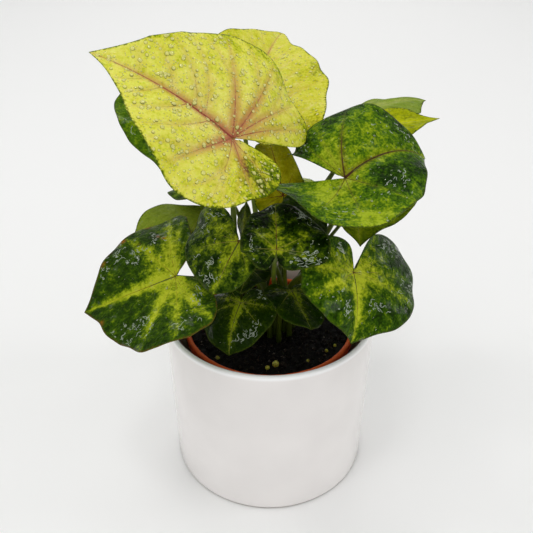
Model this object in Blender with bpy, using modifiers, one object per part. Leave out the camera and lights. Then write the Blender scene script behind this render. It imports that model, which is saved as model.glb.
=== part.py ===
"""A potted syngonium: a white glazed cover pot, the brown grower's pot inside it, the potting mix, and
twenty heart-shaped leaves, each one solid with its stalk and midrib. Metres, +Z up, front toward -Y.
The origin is the middle of the pot's foot."""

import math
import random

import bmesh
import bpy
import numpy as np
from mathutils import Vector

MM = 0.001

# Pot, in mm
POT_RADIUS = 70.0
POT_HEIGHT = 118.0
POT_WALL = 3.6
POT_FOOT_RADIUS = 68.0
POT_FLOOR = 6.0
POT_FLOOR_FILLET = 4.0
LIP_RADIUS = POT_WALL / 2
FOOT_ROUND = 1.5

# Grower's pot, in mm
NURSERY_RIM_RADIUS = 57.0
NURSERY_RIM_HEIGHT = 107.5
NURSERY_RIM_BAND = 7.0
NURSERY_RIM_WIDTH = 2.6
NURSERY_FOOT_RADIUS = 43.0
NURSERY_WALL = 1.3
NURSERY_STEP = 0.9
DRAIN_HOLE_RADIUS = 4.0
DRAIN_HOLE_CIRCLE = 27.0
DRAIN_HOLES = 6
DRAIN_HOLE_SIDES = 10

# Potting mix, in mm
SOIL_TOP = 102.0
SOIL_HEIGHT_CHANGE = 1.3
SOIL_SPOKES = 32
SOIL_RINGS = 7
GRAIN_CIRCLE = 47.0
GRAIN_SPACE = 1.5
GRAIN_SIZES = (2.6, 2.3, 2.0, 2.0, 1.8, 1.8) + 10 * (1.5,)
FINE_GRAIN = 1.9
STALK_DEPTH = 14.0
STALK_HOLE_SIDES = 8

CLEARANCE = 0.3
CUT_MARGIN = 3.0
TURN_STEPS = 40

# Blade, in mm
BLADE = 0.8
SINUS_STEP = 0.985
SPOKES = (0.0, 0.05, 0.13, 0.24, 0.37, 0.5, 0.63, 0.75, 0.85, 0.93, SINUS_STEP)
RINGS = (0.0, 0.36, 0.7, 1.0)
TIP_WIDTH = 0.06
SWELL_PLACE = 0.74
SWELL_WIDTH = 0.15

# Stalk, in mm
STALK_SIDES = 6
STALK_STEPS = 9
STALK_RISE = 4.0
STALK_TAPER = 0.62
RIB_STEPS = 4
RIB_START = 0.10
RIB_END = 0.72


# Leaves: lengths and places in mm, angles in degrees, and pairs are left, right. at is the junction of stalk
# and blade, and foot is where the stalk leaves the mix.
LEAF = dict(length=50, halves=(30, 30), lobes=(20, 20), point=0.2, swell=0.1, notch=13, gap=7, skew=0,
            folds=(8, 8), droops=(20, 20), arch=20, lobe_arches=(10, 10), twist=0, wave=0.8, waves=5,
            roll=0, stalk=1.8, arrive=0.55, lean=(0, 0))
LEAVES = {
    "leaf_top_left": dict(
        material="lime", at=(-20, -38, 252), heading=177, pitch=43, roll=-19, length=83, halves=(46, 63),
        lobes=(37, 54), point=0.42, swell=-0.1, notch=20, gap=7, skew=27, folds=(7, 28), droops=(38, 34),
        arch=27, lobe_arches=(-12, 33), twist=-5, foot=(-18, 1), stalk=2.2, arrive=0.85,
        lean=(-0.1, -0.1)),
    "leaf_top_back": dict(
        material="lime", at=(-16.2, 31, 236.5), heading=74, pitch=40, length=96, halves=(53, 51),
        lobes=(32, 24), point=0.24, swell=-0.1, notch=9, gap=9, skew=5, folds=(22, 14), droops=(11, 11),
        arch=34, lobe_arches=(10, 0), twist=15, foot=(-3, 2), stalk=2.2, arrive=0.55, lean=(0, 0)),
    "leaf_right_large": dict(
        material="mottled", at=(41, -29, 226), heading=27, pitch=35, roll=8, length=65, halves=(47, 41),
        lobes=(30, 45), point=0.27, swell=-0.15, notch=60, gap=5, skew=-50, folds=(38, -5), droops=(62, 4),
        arch=74, lobe_arches=(-54, -70), twist=18, foot=(15, 2), stalk=2.1, arrive=0.55, lean=(0, 0)),
    "leaf_right_lime": dict(
        material="olive", at=(56, 25, 236), heading=6, pitch=3, roll=2, length=49, halves=(24, 24),
        point=0.28, swell=0.12, folds=(12, 9), droops=(17, 24), arch=-5, twist=5, foot=(3, 5), stalk=1.7,
        arrive=0.55, lean=(0, 0)),
    "leaf_right_far": dict(
        material="olive", at=(61, 60, 234), heading=24, pitch=17, roll=-2, length=51, halves=(22, 31),
        point=0.23, swell=0.12, folds=(4, 6), droops=(38, 23), arch=31, twist=9, foot=(-6, 7), stalk=1.7,
        arrive=0.6, lean=(0, 0)),
    "leaf_left_behind": dict(
        material="dark", at=(-64.4, 43.0, 242.2), heading=-83, pitch=-35, roll=-9, length=55,
        halves=(29, 33), lobes=(22, 23), point=0.4, swell=0.07, folds=(8, 11), droops=(20, 30), arch=12,
        twist=-14, foot=(-1, -4), stalk=1.8, arrive=-0.65, lean=(0, -0.05)),
    "leaf_left_pale": dict(
        material="olive", at=(-52, 10, 171), heading=168, pitch=12, roll=-4, length=40, halves=(30, 32),
        lobes=(25, 25), point=0.05, swell=0.12, folds=(8, 12), droops=(20, 26), arch=36, twist=-15,
        foot=(-9, 2), stalk=1.7, arrive=0.55, lean=(0, 0)),
    "leaf_low_left": dict(
        material="mottled", at=(-55, -40, 169), heading=185, pitch=-21, roll=-25, length=60,
        halves=(53, 56), lobes=(24, 19), point=0.22, swell=0.07, notch=10, gap=13, folds=(18, 11),
        droops=(0, 48), arch=3, lobe_arches=(36, 0), twist=-7, foot=(-14, 8), stalk=2.0, arrive=1.0,
        lean=(-0.5, 0)),
    "leaf_centre_left": dict(
        material="mottled", at=(-17, -52, 199), heading=-127, pitch=-37, roll=-3, length=32,
        halves=(18, 39), lobes=(8, 22), point=0.06, swell=0.2, notch=16, gap=14, skew=14, folds=(2, 8),
        droops=(24, 45), arch=17, lobe_arches=(10, -12), foot=(10, -3), stalk=1.8, arrive=0.55,
        lean=(0, 0)),
    "leaf_centre": dict(
        material="mottled", at=(3, -66, 202), heading=90, pitch=20, roll=5, length=36, halves=(19, 29),
        lobes=(17, 15), point=0.06, swell=-0.08, notch=20, gap=6, skew=-4, folds=(13, 8), droops=(21, 22),
        arch=11, lobe_arches=(5, 14), twist=-6, foot=(4, -7), stalk=1.8, arrive=0.1, lean=(0.0, 0.35)),
    "leaf_low_right": dict(
        material="mottled", at=(46.7, -48, 176.6), heading=-73, pitch=-42, roll=-41, length=41,
        halves=(59, 40), lobes=(40, 22), point=0.22, swell=0.14, notch=9, gap=7, skew=-18, folds=(24, 9),
        droops=(30, 56), arch=36, lobe_arches=(-12, -16), twist=8, foot=(9, 4), stalk=2.0, arrive=0.55,
        lean=(0, 0)),
    "leaf_soil_left": dict(
        material="dark", at=(-18, -32, 145), heading=-118, pitch=-34, roll=14, length=34, halves=(26, 31),
        lobes=(14, 14), point=0.16, swell=-0.08, gap=6, skew=8, folds=(6, 4), droops=(24, 27), arch=40,
        lobe_arches=(3, 13), twist=-15, foot=(-6, -7), stalk=1.4, arrive=0.55, lean=(0, 0)),
    "leaf_soil_right": dict(
        material="dark", at=(13, -34, 155), heading=-70, pitch=-12, roll=-8, length=32, halves=(20, 18),
        lobes=(8, 7), point=0.08, swell=0.11, folds=(4, 8), droops=(22, 20), arch=5, twist=-2,
        foot=(6, -13), stalk=1.4, arrive=0.55, lean=(0, 0)),
    "leaf_olive": dict(
        material="olive", at=(8, 4, 200), heading=103, pitch=39, roll=-6, length=51, halves=(18, 15),
        lobes=(12, 12), point=0.06, swell=0.12, folds=(11, 10), droops=(19, 19), arch=32, foot=(5, 0),
        stalk=1.6, arrive=0.55, lean=(0, 0)),
    "leaf_under_right": dict(
        material="olive", at=(54, 20, 189), heading=-86, pitch=-20, length=34, halves=(40, 18),
        lobes=(16, 12), point=0.34, swell=0.13, folds=(13, 12), droops=(8, 11), arch=26, foot=(11, 10),
        stalk=1.6, arrive=0.05, lean=(0, 0)),
    "leaf_centre_dark": dict(
        material="dark", at=(18, -40, 196), heading=-3, pitch=-16, roll=11, length=20, halves=(32, 20),
        lobes=(18, 18), point=0.12, swell=0.12, folds=(9, 9), droops=(12, 17), arch=34, twist=-4,
        foot=(13, -8), stalk=1.5, arrive=0.35, lean=(0, 0)),
    "leaf_low_shade": dict(
        material="dark", at=(-11.5, -34, 170), heading=-107, pitch=-5, roll=1, length=20, halves=(12, 18),
        lobes=(9, 9), point=0.1, swell=0.12, folds=(7, 7), droops=(23, 21), arch=12, twist=2,
        foot=(0, -11), stalk=1.4, arrive=0.55, lean=(0, 0)),
    "leaf_young": dict(
        material="olive", at=(-16, -20, 183), heading=101, pitch=68, roll=57, length=26, halves=(12, 8),
        lobes=(6, 6), point=0.14, swell=0.12, gap=9, folds=(22, 21), droops=(22, 32), arch=-21, twist=-5,
        foot=(-9, -3), stalk=1.2, arrive=0.6, lean=(0, 0)),
    "leaf_back_left": dict(
        material="mottled", at=(-35, 60, 186), heading=140, pitch=-12, length=50, halves=(34, 34),
        lobes=(26, 26), point=0.2, droops=(24, 24), arch=30, foot=(-2, 12), stalk=1.8, arrive=0.55,
        lean=(0, 0)),
    "leaf_back_right": dict(
        material="mottled", at=(32, 68, 178), heading=50, pitch=-16, length=50, halves=(34, 34),
        lobes=(26, 26), point=0.2, droops=(24, 24), arch=30, foot=(5, 11), stalk=1.8, arrive=0.55,
        lean=(0, 0)),
}


def new_collection(name):
    collection = bpy.data.collections.new(name)
    bpy.context.scene.collection.children.link(collection)
    return collection


def new_material(name, colour, roughness, metallic=0.0):
    """A Principled material from an sRGB hex colour."""
    material = bpy.data.materials.new(name)
    material.use_nodes = True
    shader = material.node_tree.nodes["Principled BSDF"]
    channels = [int(colour[i:i + 2], 16) / 255 for i in (0, 2, 4)]
    linear = [c / 12.92 if c <= 0.04045 else ((c + 0.055) / 1.055) ** 2.4 for c in channels]
    shader.inputs["Base Color"].default_value = (*linear, 1.0)
    shader.inputs["Roughness"].default_value = roughness
    shader.inputs["Metallic"].default_value = metallic
    material.diffuse_color = (*linear, 1.0)
    return material


def add_object(name, mesh, material=None, collection=None):
    thing = bpy.data.objects.new(name, mesh)
    (collection or PLANT).objects.link(thing)
    if material:
        mesh.materials.append(material)
    return thing


def mesh_from(bm, name):
    mesh = bpy.data.meshes.new(name)
    bm.to_mesh(mesh)
    bm.free()
    return mesh


def arc(centre, radius, start, end, steps):
    """Points of a round stretch of a turned profile, as (radius, height), angles in degrees."""
    angles = [math.radians(start + (end - start) * i / steps) for i in range(steps + 1)]
    return [(centre[0] + radius * math.cos(a), centre[1] + radius * math.sin(a)) for a in angles]


def turned(name, profile, material):
    """Turn a profile of (radius, height) points in mm round the Z axis."""
    bm = bmesh.new()
    points = [bm.verts.new((r * MM, 0, z * MM)) for r, z in profile]
    for a, b in zip(points, points[1:]):
        bm.edges.new((a, b))
    thing = add_object(name, mesh_from(bm, name), material)
    screw = thing.modifiers.new("Turn", "SCREW")
    screw.axis = "Z"
    screw.steps = TURN_STEPS
    screw.render_steps = TURN_STEPS
    screw.use_merge_vertices = True
    screw.merge_threshold = 0.00001
    return thing


def evaluated_mesh(thing):
    depsgraph = bpy.context.evaluated_depsgraph_get()
    return bpy.data.meshes.new_from_object(thing.evaluated_get(depsgraph))


def boolean(thing, operation, other=None, collection=None):
    """Add an EXACT Boolean with one object, or with a collection of them."""
    modifier = thing.modifiers.new(operation.title(), "BOOLEAN")
    modifier.operation = operation
    modifier.solver = "EXACT"
    if collection:
        modifier.operand_type = "COLLECTION"
        modifier.collection = collection
    else:
        modifier.object = other
    return modifier


def bake(thing):
    """Replace an object's mesh by what its modifiers make of it."""
    mesh = evaluated_mesh(thing)
    thing.modifiers.clear()
    thing.data = mesh


def remove_all(collection):
    for thing in list(collection.objects):
        bpy.data.objects.remove(thing)
    bpy.data.collections.remove(collection)


def shade(thing, angle=35):
    thing.data.shade_smooth()
    thing.data.set_sharp_from_angle(angle=math.radians(angle))


def cylinder(name, x, y, bottom, top, radius, sides, collection):
    """An upright cylinder in mm, used to cut a hole."""
    bm = bmesh.new()
    bmesh.ops.create_cone(bm, cap_ends=True, segments=sides, radius1=radius * MM, radius2=radius * MM,
                          depth=(top - bottom) * MM)
    thing = add_object(name, mesh_from(bm, name), collection=collection)
    thing.location = (x * MM, y * MM, (top + bottom) / 2 * MM)
    thing.hide_render = True
    thing.display_type = "WIRE"
    return thing


def cover_pot():
    """The glazed pot: flat foot, nearly straight wall, lip rounded over the full wall."""
    inner_foot = POT_FOOT_RADIUS - POT_WALL
    fillet = POT_FLOOR_FILLET
    profile = [(0, POT_FLOOR)]
    profile += arc((inner_foot - fillet, POT_FLOOR + fillet), fillet, -90, 0, 4)
    profile += arc((POT_RADIUS - LIP_RADIUS, POT_HEIGHT - LIP_RADIUS), LIP_RADIUS, 180, 0, 8)
    profile += arc((POT_FOOT_RADIUS - FOOT_ROUND, FOOT_ROUND), FOOT_ROUND, 0, -90, 3)
    profile += [(0, 0)]
    pot = turned("pot", profile, new_material("glazed_ceramic", "F1F1EF", 0.22))
    shade(pot)


def nursery_pot():
    """The grower's pot: tapered thin wall, a rim band with a rolled top, a floor with drain holes."""
    floor = POT_FLOOR + CLEARANCE
    rim = NURSERY_RIM_HEIGHT
    inner = NURSERY_RIM_RADIUS - NURSERY_RIM_WIDTH
    bead = NURSERY_RIM_WIDTH / 2
    profile = [(0, floor + NURSERY_WALL), (NURSERY_FOOT_RADIUS - NURSERY_WALL, floor + NURSERY_WALL)]
    profile += arc((inner + bead, rim - bead), bead, 180, 0, 6)
    profile += [(NURSERY_RIM_RADIUS, rim - NURSERY_RIM_BAND)]
    profile += [(inner + NURSERY_STEP, rim - NURSERY_RIM_BAND - NURSERY_STEP)]
    profile += [(NURSERY_FOOT_RADIUS, floor), (0, floor)]
    pot = turned("nursery_pot", profile, new_material("brown_plastic", "8A3F2A", 0.42))
    cutters = new_collection("drain_cutters")
    for i in range(DRAIN_HOLES):
        angle = 2 * math.pi * (i + 0.5) / DRAIN_HOLES
        cylinder(f"drain_{i}", DRAIN_HOLE_CIRCLE * math.cos(angle), DRAIN_HOLE_CIRCLE * math.sin(angle),
                 floor - CUT_MARGIN, floor + NURSERY_WALL + CUT_MARGIN, DRAIN_HOLE_RADIUS,
                 DRAIN_HOLE_SIDES, cutters)
    boolean(pot, "DIFFERENCE", collection=cutters)
    bake(pot)
    remove_all(cutters)
    shade(pot)


def soil_height(x, y):
    """Height of the potting mix at a place, in mm: low uneven mounds."""
    mounds = np.sin(x / 7.3 + 0.6) * np.cos(y / 8.1 - 0.4) + 0.6 * np.sin(x / 3.9 - y / 5.2)
    return SOIL_TOP + SOIL_HEIGHT_CHANGE * mounds / 1.6


def nursery_inner_radius(z):
    """Radius of the grower's pot's inner wall at a height, in mm."""
    low = POT_FLOOR + CLEARANCE + NURSERY_WALL
    high = NURSERY_RIM_HEIGHT - NURSERY_RIM_WIDTH / 2
    foot = NURSERY_FOOT_RADIUS - NURSERY_WALL
    return foot + (NURSERY_RIM_RADIUS - NURSERY_RIM_WIDTH - foot) * (z - low) / (high - low)


def soil_body():
    """A plug that fills the grower's pot, its top a polar grid moved to the mounds."""
    bottom = POT_FLOOR + 2 * CLEARANCE + NURSERY_WALL
    bm = bmesh.new()
    bmesh.ops.create_grid(bm, x_segments=SOIL_SPOKES, y_segments=SOIL_RINGS, size=0.5)
    for vert in bm.verts:
        angle = 2 * math.pi * (vert.co.x + 0.5)
        share = 1 - (vert.co.y + 0.5)
        radius = (nursery_inner_radius(SOIL_TOP) - 1.5 * CLEARANCE) * share
        x = radius * math.cos(angle)
        y = radius * math.sin(angle)
        edge = 1 - share ** 8
        z = SOIL_TOP + (float(soil_height(x, y)) - SOIL_TOP) * edge
        vert.co = Vector((x, y, z)) * MM
    bmesh.ops.remove_doubles(bm, verts=bm.verts, dist=1e-6)
    rim = [edge for edge in bm.edges if edge.is_boundary]
    walls = bmesh.ops.extrude_edge_only(bm, edges=rim)["geom"]
    foot = nursery_inner_radius(bottom) - 1.5 * CLEARANCE
    low = [item for item in walls if isinstance(item, bmesh.types.BMVert)]
    for vert in low:
        radius = math.hypot(vert.co.x, vert.co.y)
        vert.co = Vector((vert.co.x / radius * foot * MM, vert.co.y / radius * foot * MM, bottom * MM))
    bmesh.ops.contextual_create(bm, geom=[edge for edge in bm.edges if edge.is_boundary])
    bmesh.ops.recalc_face_normals(bm, faces=bm.faces)
    return mesh_from(bm, "soil")


def grains(collection):
    """Beads and crumbs half sunk in the mix, placed clear of the stalks by a seeded draw."""
    draw = random.Random(11)
    placed = []
    while len(placed) < len(GRAIN_SIZES):
        size = GRAIN_SIZES[len(placed)]
        radius = GRAIN_CIRCLE * math.sqrt(draw.random())
        angle = draw.uniform(0, 2 * math.pi)
        x = radius * math.cos(angle)
        y = radius * math.sin(angle)
        near = [math.hypot(x - a, y - b) < size + c + GRAIN_SPACE for a, b, c in placed + FEET]
        if any(near):
            continue
        placed.append((x, y, size))
        bm = bmesh.new()
        bmesh.ops.create_icosphere(bm, subdivisions=2 if size > FINE_GRAIN else 1, radius=size * MM)
        grain = add_object(f"grain_{len(placed)}", mesh_from(bm, "grain"), collection=collection)
        grain.location = (x * MM, y * MM, (float(soil_height(x, y)) + 0.15 * size) * MM)
        grain.rotation_euler = (draw.uniform(0, 3), draw.uniform(0, 3), draw.uniform(0, 3))
        grain.scale = (1.0, draw.uniform(0.75, 1.0), draw.uniform(0.6, 0.9))


def soil():
    """The potting mix with its grains, and a plain upright hole round every stalk."""
    mix = add_object("soil", soil_body(), new_material("potting_mix", "1B1512", 0.95))
    crumbs = new_collection("grains")
    grains(crumbs)
    boolean(mix, "UNION", collection=crumbs)
    cutters = new_collection("stalk_cutters")
    for x, y, radius in FEET:
        reach = (radius + CLEARANCE) / math.cos(math.pi / STALK_HOLE_SIDES)
        cylinder("stalk_hole", x, y, SOIL_TOP - STALK_DEPTH - CLEARANCE, SOIL_TOP + 2 * CUT_MARGIN,
                 reach, STALK_HOLE_SIDES, cutters)
    boolean(mix, "DIFFERENCE", collection=cutters)
    bake(mix)
    remove_all(crumbs)
    remove_all(cutters)
    shade(mix)


def outline(leaf, spoke):
    """Distance from the junction to the margin of a heart of radius 1. spoke is 0 at the tip and 1 in the
    sinus between the lobes."""
    phi = np.abs(spoke)
    body = 1 + leaf["swell"] * np.exp(-((phi - SWELL_PLACE) / SWELL_WIDTH) ** 2)
    tip = leaf["point"] * np.exp(-phi / TIP_WIDTH)
    return (body + tip) * np.sqrt(1 - phi ** leaf["notch"])


def flat_blade(leaf, ring, spoke):
    """Places on the flat blade: x along the midrib, y to its left. ring is 0 at the junction, 1 at the
    margin, and spoke runs from -1 in the sinus over 0 at the tip to 1 on the left side."""
    side = np.where(spoke < 0, -1.0, 1.0)
    reach = outline(leaf, spoke)
    angle = spoke * math.radians(180 - leaf["gap"]) + math.radians(leaf["skew"]) * spoke ** 2
    lobe = np.where(side > 0, leaf["lobes"][0], leaf["lobes"][1])
    half = np.where(side > 0, leaf["halves"][0], leaf["halves"][1])
    along = np.where(np.cos(angle) > 0, leaf["length"] / (1 + leaf["point"]), lobe)
    return ring * along * np.cos(angle) * reach, ring * half * np.sin(angle) * reach, side


def bent_blade(leaf, ring, spoke):
    """The blade with its sides folded and drooping, its midrib arched, twisted and its margin waved."""
    x, y, side = flat_blade(leaf, ring, spoke)
    left = side > 0
    fold = np.radians(np.where(left, leaf["folds"][0], leaf["folds"][1]))
    droop = np.radians(np.where(left, leaf["droops"][0], leaf["droops"][1]))
    rate = droop / np.where(left, leaf["halves"][0], leaf["halves"][1])
    rate = np.where(np.abs(rate) < 1e-5, 1e-5, rate)
    across = (np.sin(fold) - np.sin(fold - rate * y * side)) / rate * side
    up = (np.cos(fold - rate * y * side) - np.cos(fold)) / rate
    up = up + leaf["wave"] * ring ** 3 * np.sin(leaf["waves"] * math.pi * spoke + leaf["phase"])
    twist = math.radians(leaf["twist"]) * x / leaf["length"]
    across, up = across * np.cos(twist) - up * np.sin(twist), across * np.sin(twist) + up * np.cos(twist)
    lobe = np.where(left, leaf["lobes"][0], leaf["lobes"][1])
    lobe_arch = np.where(left, leaf["lobe_arches"][0], leaf["lobe_arches"][1])
    turn = np.radians(np.where(x > 0, leaf["arch"] / leaf["length"], lobe_arch / lobe))
    turn = np.where(np.abs(turn) < 1e-5, 1e-5, turn)
    along = np.sin(turn * x) / turn + up * np.sin(turn * x)
    height = (np.cos(turn * x) - 1) / turn + up * np.cos(turn * x)
    return along, across, height


def axes(leaf):
    """The leaf's own directions: along the midrib, to its left, and out of its upper face."""
    heading, pitch, roll = (math.radians(leaf[key]) for key in ("heading", "pitch", "roll"))
    midrib = Vector((math.cos(heading) * math.cos(pitch), math.sin(heading) * math.cos(pitch), math.sin(pitch)))
    level = Vector((-math.sin(heading), math.cos(heading), 0))
    normal = midrib.cross(level)
    left = level * math.cos(roll) + normal * math.sin(roll)
    face = normal * math.cos(roll) - level * math.sin(roll)
    return midrib, left, face


def blade_point(leaf, ring, spoke):
    along, across, height = bent_blade(leaf, np.float64(ring), np.float64(spoke))
    midrib, left, face = axes(leaf)
    return Vector(leaf["at"]) + midrib * float(along) + left * float(across) + face * float(height)


def blade(leaf, name):
    """A grid whose columns are spokes from the junction, wrapped round it, thickened downward."""
    spokes = [-s for s in reversed(SPOKES[1:])] + list(SPOKES)
    bm = bmesh.new()
    bmesh.ops.create_grid(bm, x_segments=len(spokes) - 1, y_segments=len(RINGS) - 1, size=1)
    for vert in bm.verts:
        column = round((1 - vert.co.x) / 2 * (len(spokes) - 1))
        row = round((vert.co.y + 1) / 2 * (len(RINGS) - 1))
        vert.co = blade_point(leaf, RINGS[row], spokes[column]) * MM
    bmesh.ops.remove_doubles(bm, verts=bm.verts, dist=1e-6)
    bmesh.ops.triangulate(bm, faces=bm.faces)
    thing = add_object(name, mesh_from(bm, name), MATERIALS[leaf["material"]])
    solid = thing.modifiers.new("Thickness", "SOLIDIFY")
    solid.thickness = BLADE * MM
    solid.offset = -1
    return thing


def stalk_route(leaf):
    """Places and radii along the stalk: upright out of the mix, curving to the junction, then on along
    the underside of the blade as the midrib."""
    x, y = leaf["foot"]
    thick = leaf["stalk"]
    thin = thick * STALK_TAPER
    midrib, left, face = axes(leaf)
    base = Vector((x, y, SOIL_TOP - STALK_DEPTH))
    start = Vector((x, y, SOIL_TOP + STALK_RISE))
    end = Vector(leaf["at"]) - face * (thin * 0.5 + BLADE * 0.5) - midrib * 0.5
    arrive = (midrib * leaf["arrive"] + face).normalized()
    span = (end - start).length
    first = start + Vector((leaf["lean"][0], leaf["lean"][1], 1)) * span * 0.4
    second = end - arrive * span * 0.3
    points = [(base, thick), (start, thick)]
    for i in range(1, STALK_STEPS + 1):
        t = i / STALK_STEPS
        place = (start * (1 - t) ** 3 + first * 3 * t * (1 - t) ** 2
                 + second * 3 * t ** 2 * (1 - t) + end * t ** 3)
        points.append((place, thick + (thin - thick) * t))
    for i in range(RIB_STEPS):
        share = RIB_START + (RIB_END - RIB_START) * i / (RIB_STEPS - 1)
        radius = thin * (0.95 - 0.6 * i / (RIB_STEPS - 1))
        place = blade_point(leaf, share, 0.0) - face * (BLADE * 0.5 + radius * 0.4)
        points.append((place, radius))
    return points


def stalk(leaf, name):
    """A tube along the stalk's route, made a closed mesh."""
    route = stalk_route(leaf)
    curve = bpy.data.curves.new(name, "CURVE")
    curve.dimensions = "3D"
    curve.bevel_depth = MM
    curve.bevel_resolution = STALK_SIDES // 2 - 2
    curve.use_fill_caps = True
    spline = curve.splines.new("POLY")
    spline.points.add(len(route) - 1)
    for point, (place, radius) in zip(spline.points, route):
        point.co = (*(place * MM), 1)
        point.radius = radius
    guide = add_object(name, curve)
    bm = bmesh.new()
    bm.from_mesh(evaluated_mesh(guide))
    bmesh.ops.remove_doubles(bm, verts=bm.verts, dist=1e-6)
    bpy.data.objects.remove(guide)
    return add_object(name, mesh_from(bm, name))


def whole_leaf(name):
    """A leaf's values: its own over those that most leaves share, and a wave that starts where it may."""
    return dict(LEAF, phase=random.Random(name).uniform(0, 2 * math.pi)) | LEAVES[name]


def leaf(name):
    """One leaf, its blade joined to its stalk."""
    values = whole_leaf(name)
    body = blade(values, name)
    tube = stalk(values, name + "_stalk")
    boolean(body, "UNION", tube)
    bake(body)
    bpy.data.objects.remove(tube)
    shade(body, 50)


for thing in list(bpy.data.objects):
    bpy.data.objects.remove(thing)
PLANT = new_collection("potted_syngonium")
FEET = [(*LEAVES[name]["foot"], whole_leaf(name)["stalk"]) for name in LEAVES]
MATERIALS = {
    "lime": new_material("lime_leaf", "B9BE4B", 0.32),
    "mottled": new_material("mottled_leaf", "4E7A1E", 0.3),
    "dark": new_material("dark_leaf", "234A14", 0.28),
    "olive": new_material("olive_leaf", "6F7F22", 0.45),
}

cover_pot()
nursery_pot()
for leaf_name in LEAVES:
    leaf(leaf_name)
soil()
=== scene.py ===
"""The looks of the potted syngonium: its two pots, the potting mix, the leaves and the water on them."""

import math
import random

import bpy
import numpy as np
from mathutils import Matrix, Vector


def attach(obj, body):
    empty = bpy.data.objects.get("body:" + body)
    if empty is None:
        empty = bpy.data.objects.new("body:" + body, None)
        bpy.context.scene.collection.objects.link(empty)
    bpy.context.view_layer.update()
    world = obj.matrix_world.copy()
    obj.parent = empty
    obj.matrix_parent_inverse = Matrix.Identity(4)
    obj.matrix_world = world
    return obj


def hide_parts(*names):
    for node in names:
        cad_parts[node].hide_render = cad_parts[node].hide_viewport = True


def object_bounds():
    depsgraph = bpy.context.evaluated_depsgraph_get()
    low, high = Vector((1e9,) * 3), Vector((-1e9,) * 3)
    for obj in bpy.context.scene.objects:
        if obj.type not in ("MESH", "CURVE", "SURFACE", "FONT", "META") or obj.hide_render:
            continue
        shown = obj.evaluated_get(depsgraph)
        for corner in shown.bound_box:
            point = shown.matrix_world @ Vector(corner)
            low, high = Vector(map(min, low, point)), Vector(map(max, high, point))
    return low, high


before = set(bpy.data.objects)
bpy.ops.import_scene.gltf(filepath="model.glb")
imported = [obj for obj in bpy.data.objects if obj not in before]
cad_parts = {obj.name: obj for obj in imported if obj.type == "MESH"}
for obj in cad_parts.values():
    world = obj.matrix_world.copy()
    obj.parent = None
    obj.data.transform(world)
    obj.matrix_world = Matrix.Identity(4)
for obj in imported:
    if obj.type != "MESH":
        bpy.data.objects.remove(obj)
cad_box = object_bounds()
MM = 0.001


# Studio: a sweep of white paper, round so that it is behind the plant from every side, under broad soft
# lamps, seen through a short portrait lens a little above the plant. The paper is matt and close to white, so
# the shadows on it are pale.
def new_mesh(name, points, blocks, inside=True, **values):
    """A smooth mesh object from an array of points in mm, arrays of faces, and values by point. What belongs
    to the plant is kept inside the frame's box."""
    mesh = bpy.data.meshes.new(name)
    corners = np.concatenate([block.ravel() for block in blocks])
    sizes = np.concatenate([np.full(len(block), block.shape[1]) for block in blocks])
    mesh.vertices.add(len(points))
    mesh.loops.add(len(corners))
    mesh.polygons.add(len(sizes))
    places = np.clip(points * MM, *cad_box) if inside else points * MM
    mesh.vertices.foreach_set("co", places.ravel())
    mesh.loops.foreach_set("vertex_index", corners.astype(np.int32))
    mesh.polygons.foreach_set("loop_start", (np.cumsum(sizes) - sizes).astype(np.int32))
    mesh.update(calc_edges=True)
    for key, value in values.items():
        mesh.attributes.new(key, "FLOAT", "POINT").data.foreach_set("value", value.astype(np.float32))
    mesh.shade_smooth()
    thing = bpy.data.objects.new(name, mesh)
    bpy.context.scene.collection.objects.link(thing)
    return thing


def grid_faces(rows, columns, closed=False, start=0):
    """Quads over a grid of rows by columns of points, its last column joined to the first if closed."""
    row, column = np.meshgrid(np.arange(rows - 1), np.arange(columns - (not closed)), indexing="ij")
    after = (column + 1) % columns
    quads = [row * columns + column, (row + 1) * columns + column, (row + 1) * columns + after,
             row * columns + after]
    return np.stack(quads, -1).reshape(-1, 4) + start


def linear(code):
    """An sRGB hex colour as linear RGBA."""
    shares = np.array([int(code[i:i + 2], 16) for i in (0, 2, 4)]) / 255
    return (*np.where(shares <= 0.04045, shares / 12.92, ((shares + 0.055) / 1.055) ** 2.4), 1.0)


def new_material(name, inputs):
    """A material with only its Principled shader, whose plain values are given."""
    material = bpy.data.materials.new(name)
    material.use_nodes = True
    for key, value in inputs.items():
        material.node_tree.nodes["Principled BSDF"].inputs[key].default_value = value
    return material


PAPER_RINGS = (30, 300, 1200)
PAPER_FLOOR = 3200
PAPER_CURVE = 900
PAPER_CURVE_STEPS = 19
PAPER_TOP = 1700
PAPER_SIDES = 96
sweep = np.radians(np.linspace(0, 90, PAPER_CURVE_STEPS))
radius = np.concatenate([PAPER_RINGS, PAPER_FLOOR + PAPER_CURVE * np.sin(sweep),
                         [PAPER_FLOOR + PAPER_CURVE]])
height = np.concatenate([(0, 0, 0), PAPER_CURVE * (1 - np.cos(sweep)), [PAPER_TOP]])
turn = np.linspace(0, 2 * np.pi, PAPER_SIDES, endpoint=False)
grid = np.broadcast_arrays(radius[:, None] * np.cos(turn), radius[:, None] * np.sin(turn), height[:, None])
middle = np.arange(PAPER_SIDES)[None]
paper = new_mesh("paper", np.stack(grid, -1).reshape(-1, 3),
                 [grid_faces(len(radius), PAPER_SIDES, closed=True), middle], inside=False)
paper.data.materials.append(new_material("matt_paper", {"Base Color": linear("F6F6F5"), "Roughness": 0.9}))

LENS = 43.2
SENSOR = 36
CAMERA_PLACE = (-0.0022, -0.354, 0.367)
CAMERA_DIP = 31.34
camera = bpy.data.objects.new("camera", bpy.data.cameras.new("camera"))
camera.data.lens = LENS
camera.data.sensor_width = SENSOR
camera.location = CAMERA_PLACE
camera.rotation_euler = (math.radians(90 - CAMERA_DIP), 0, 0)
bpy.context.scene.collection.objects.link(camera)
bpy.context.scene.camera = camera
bpy.context.scene.view_settings.view_transform = "Standard"

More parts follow.
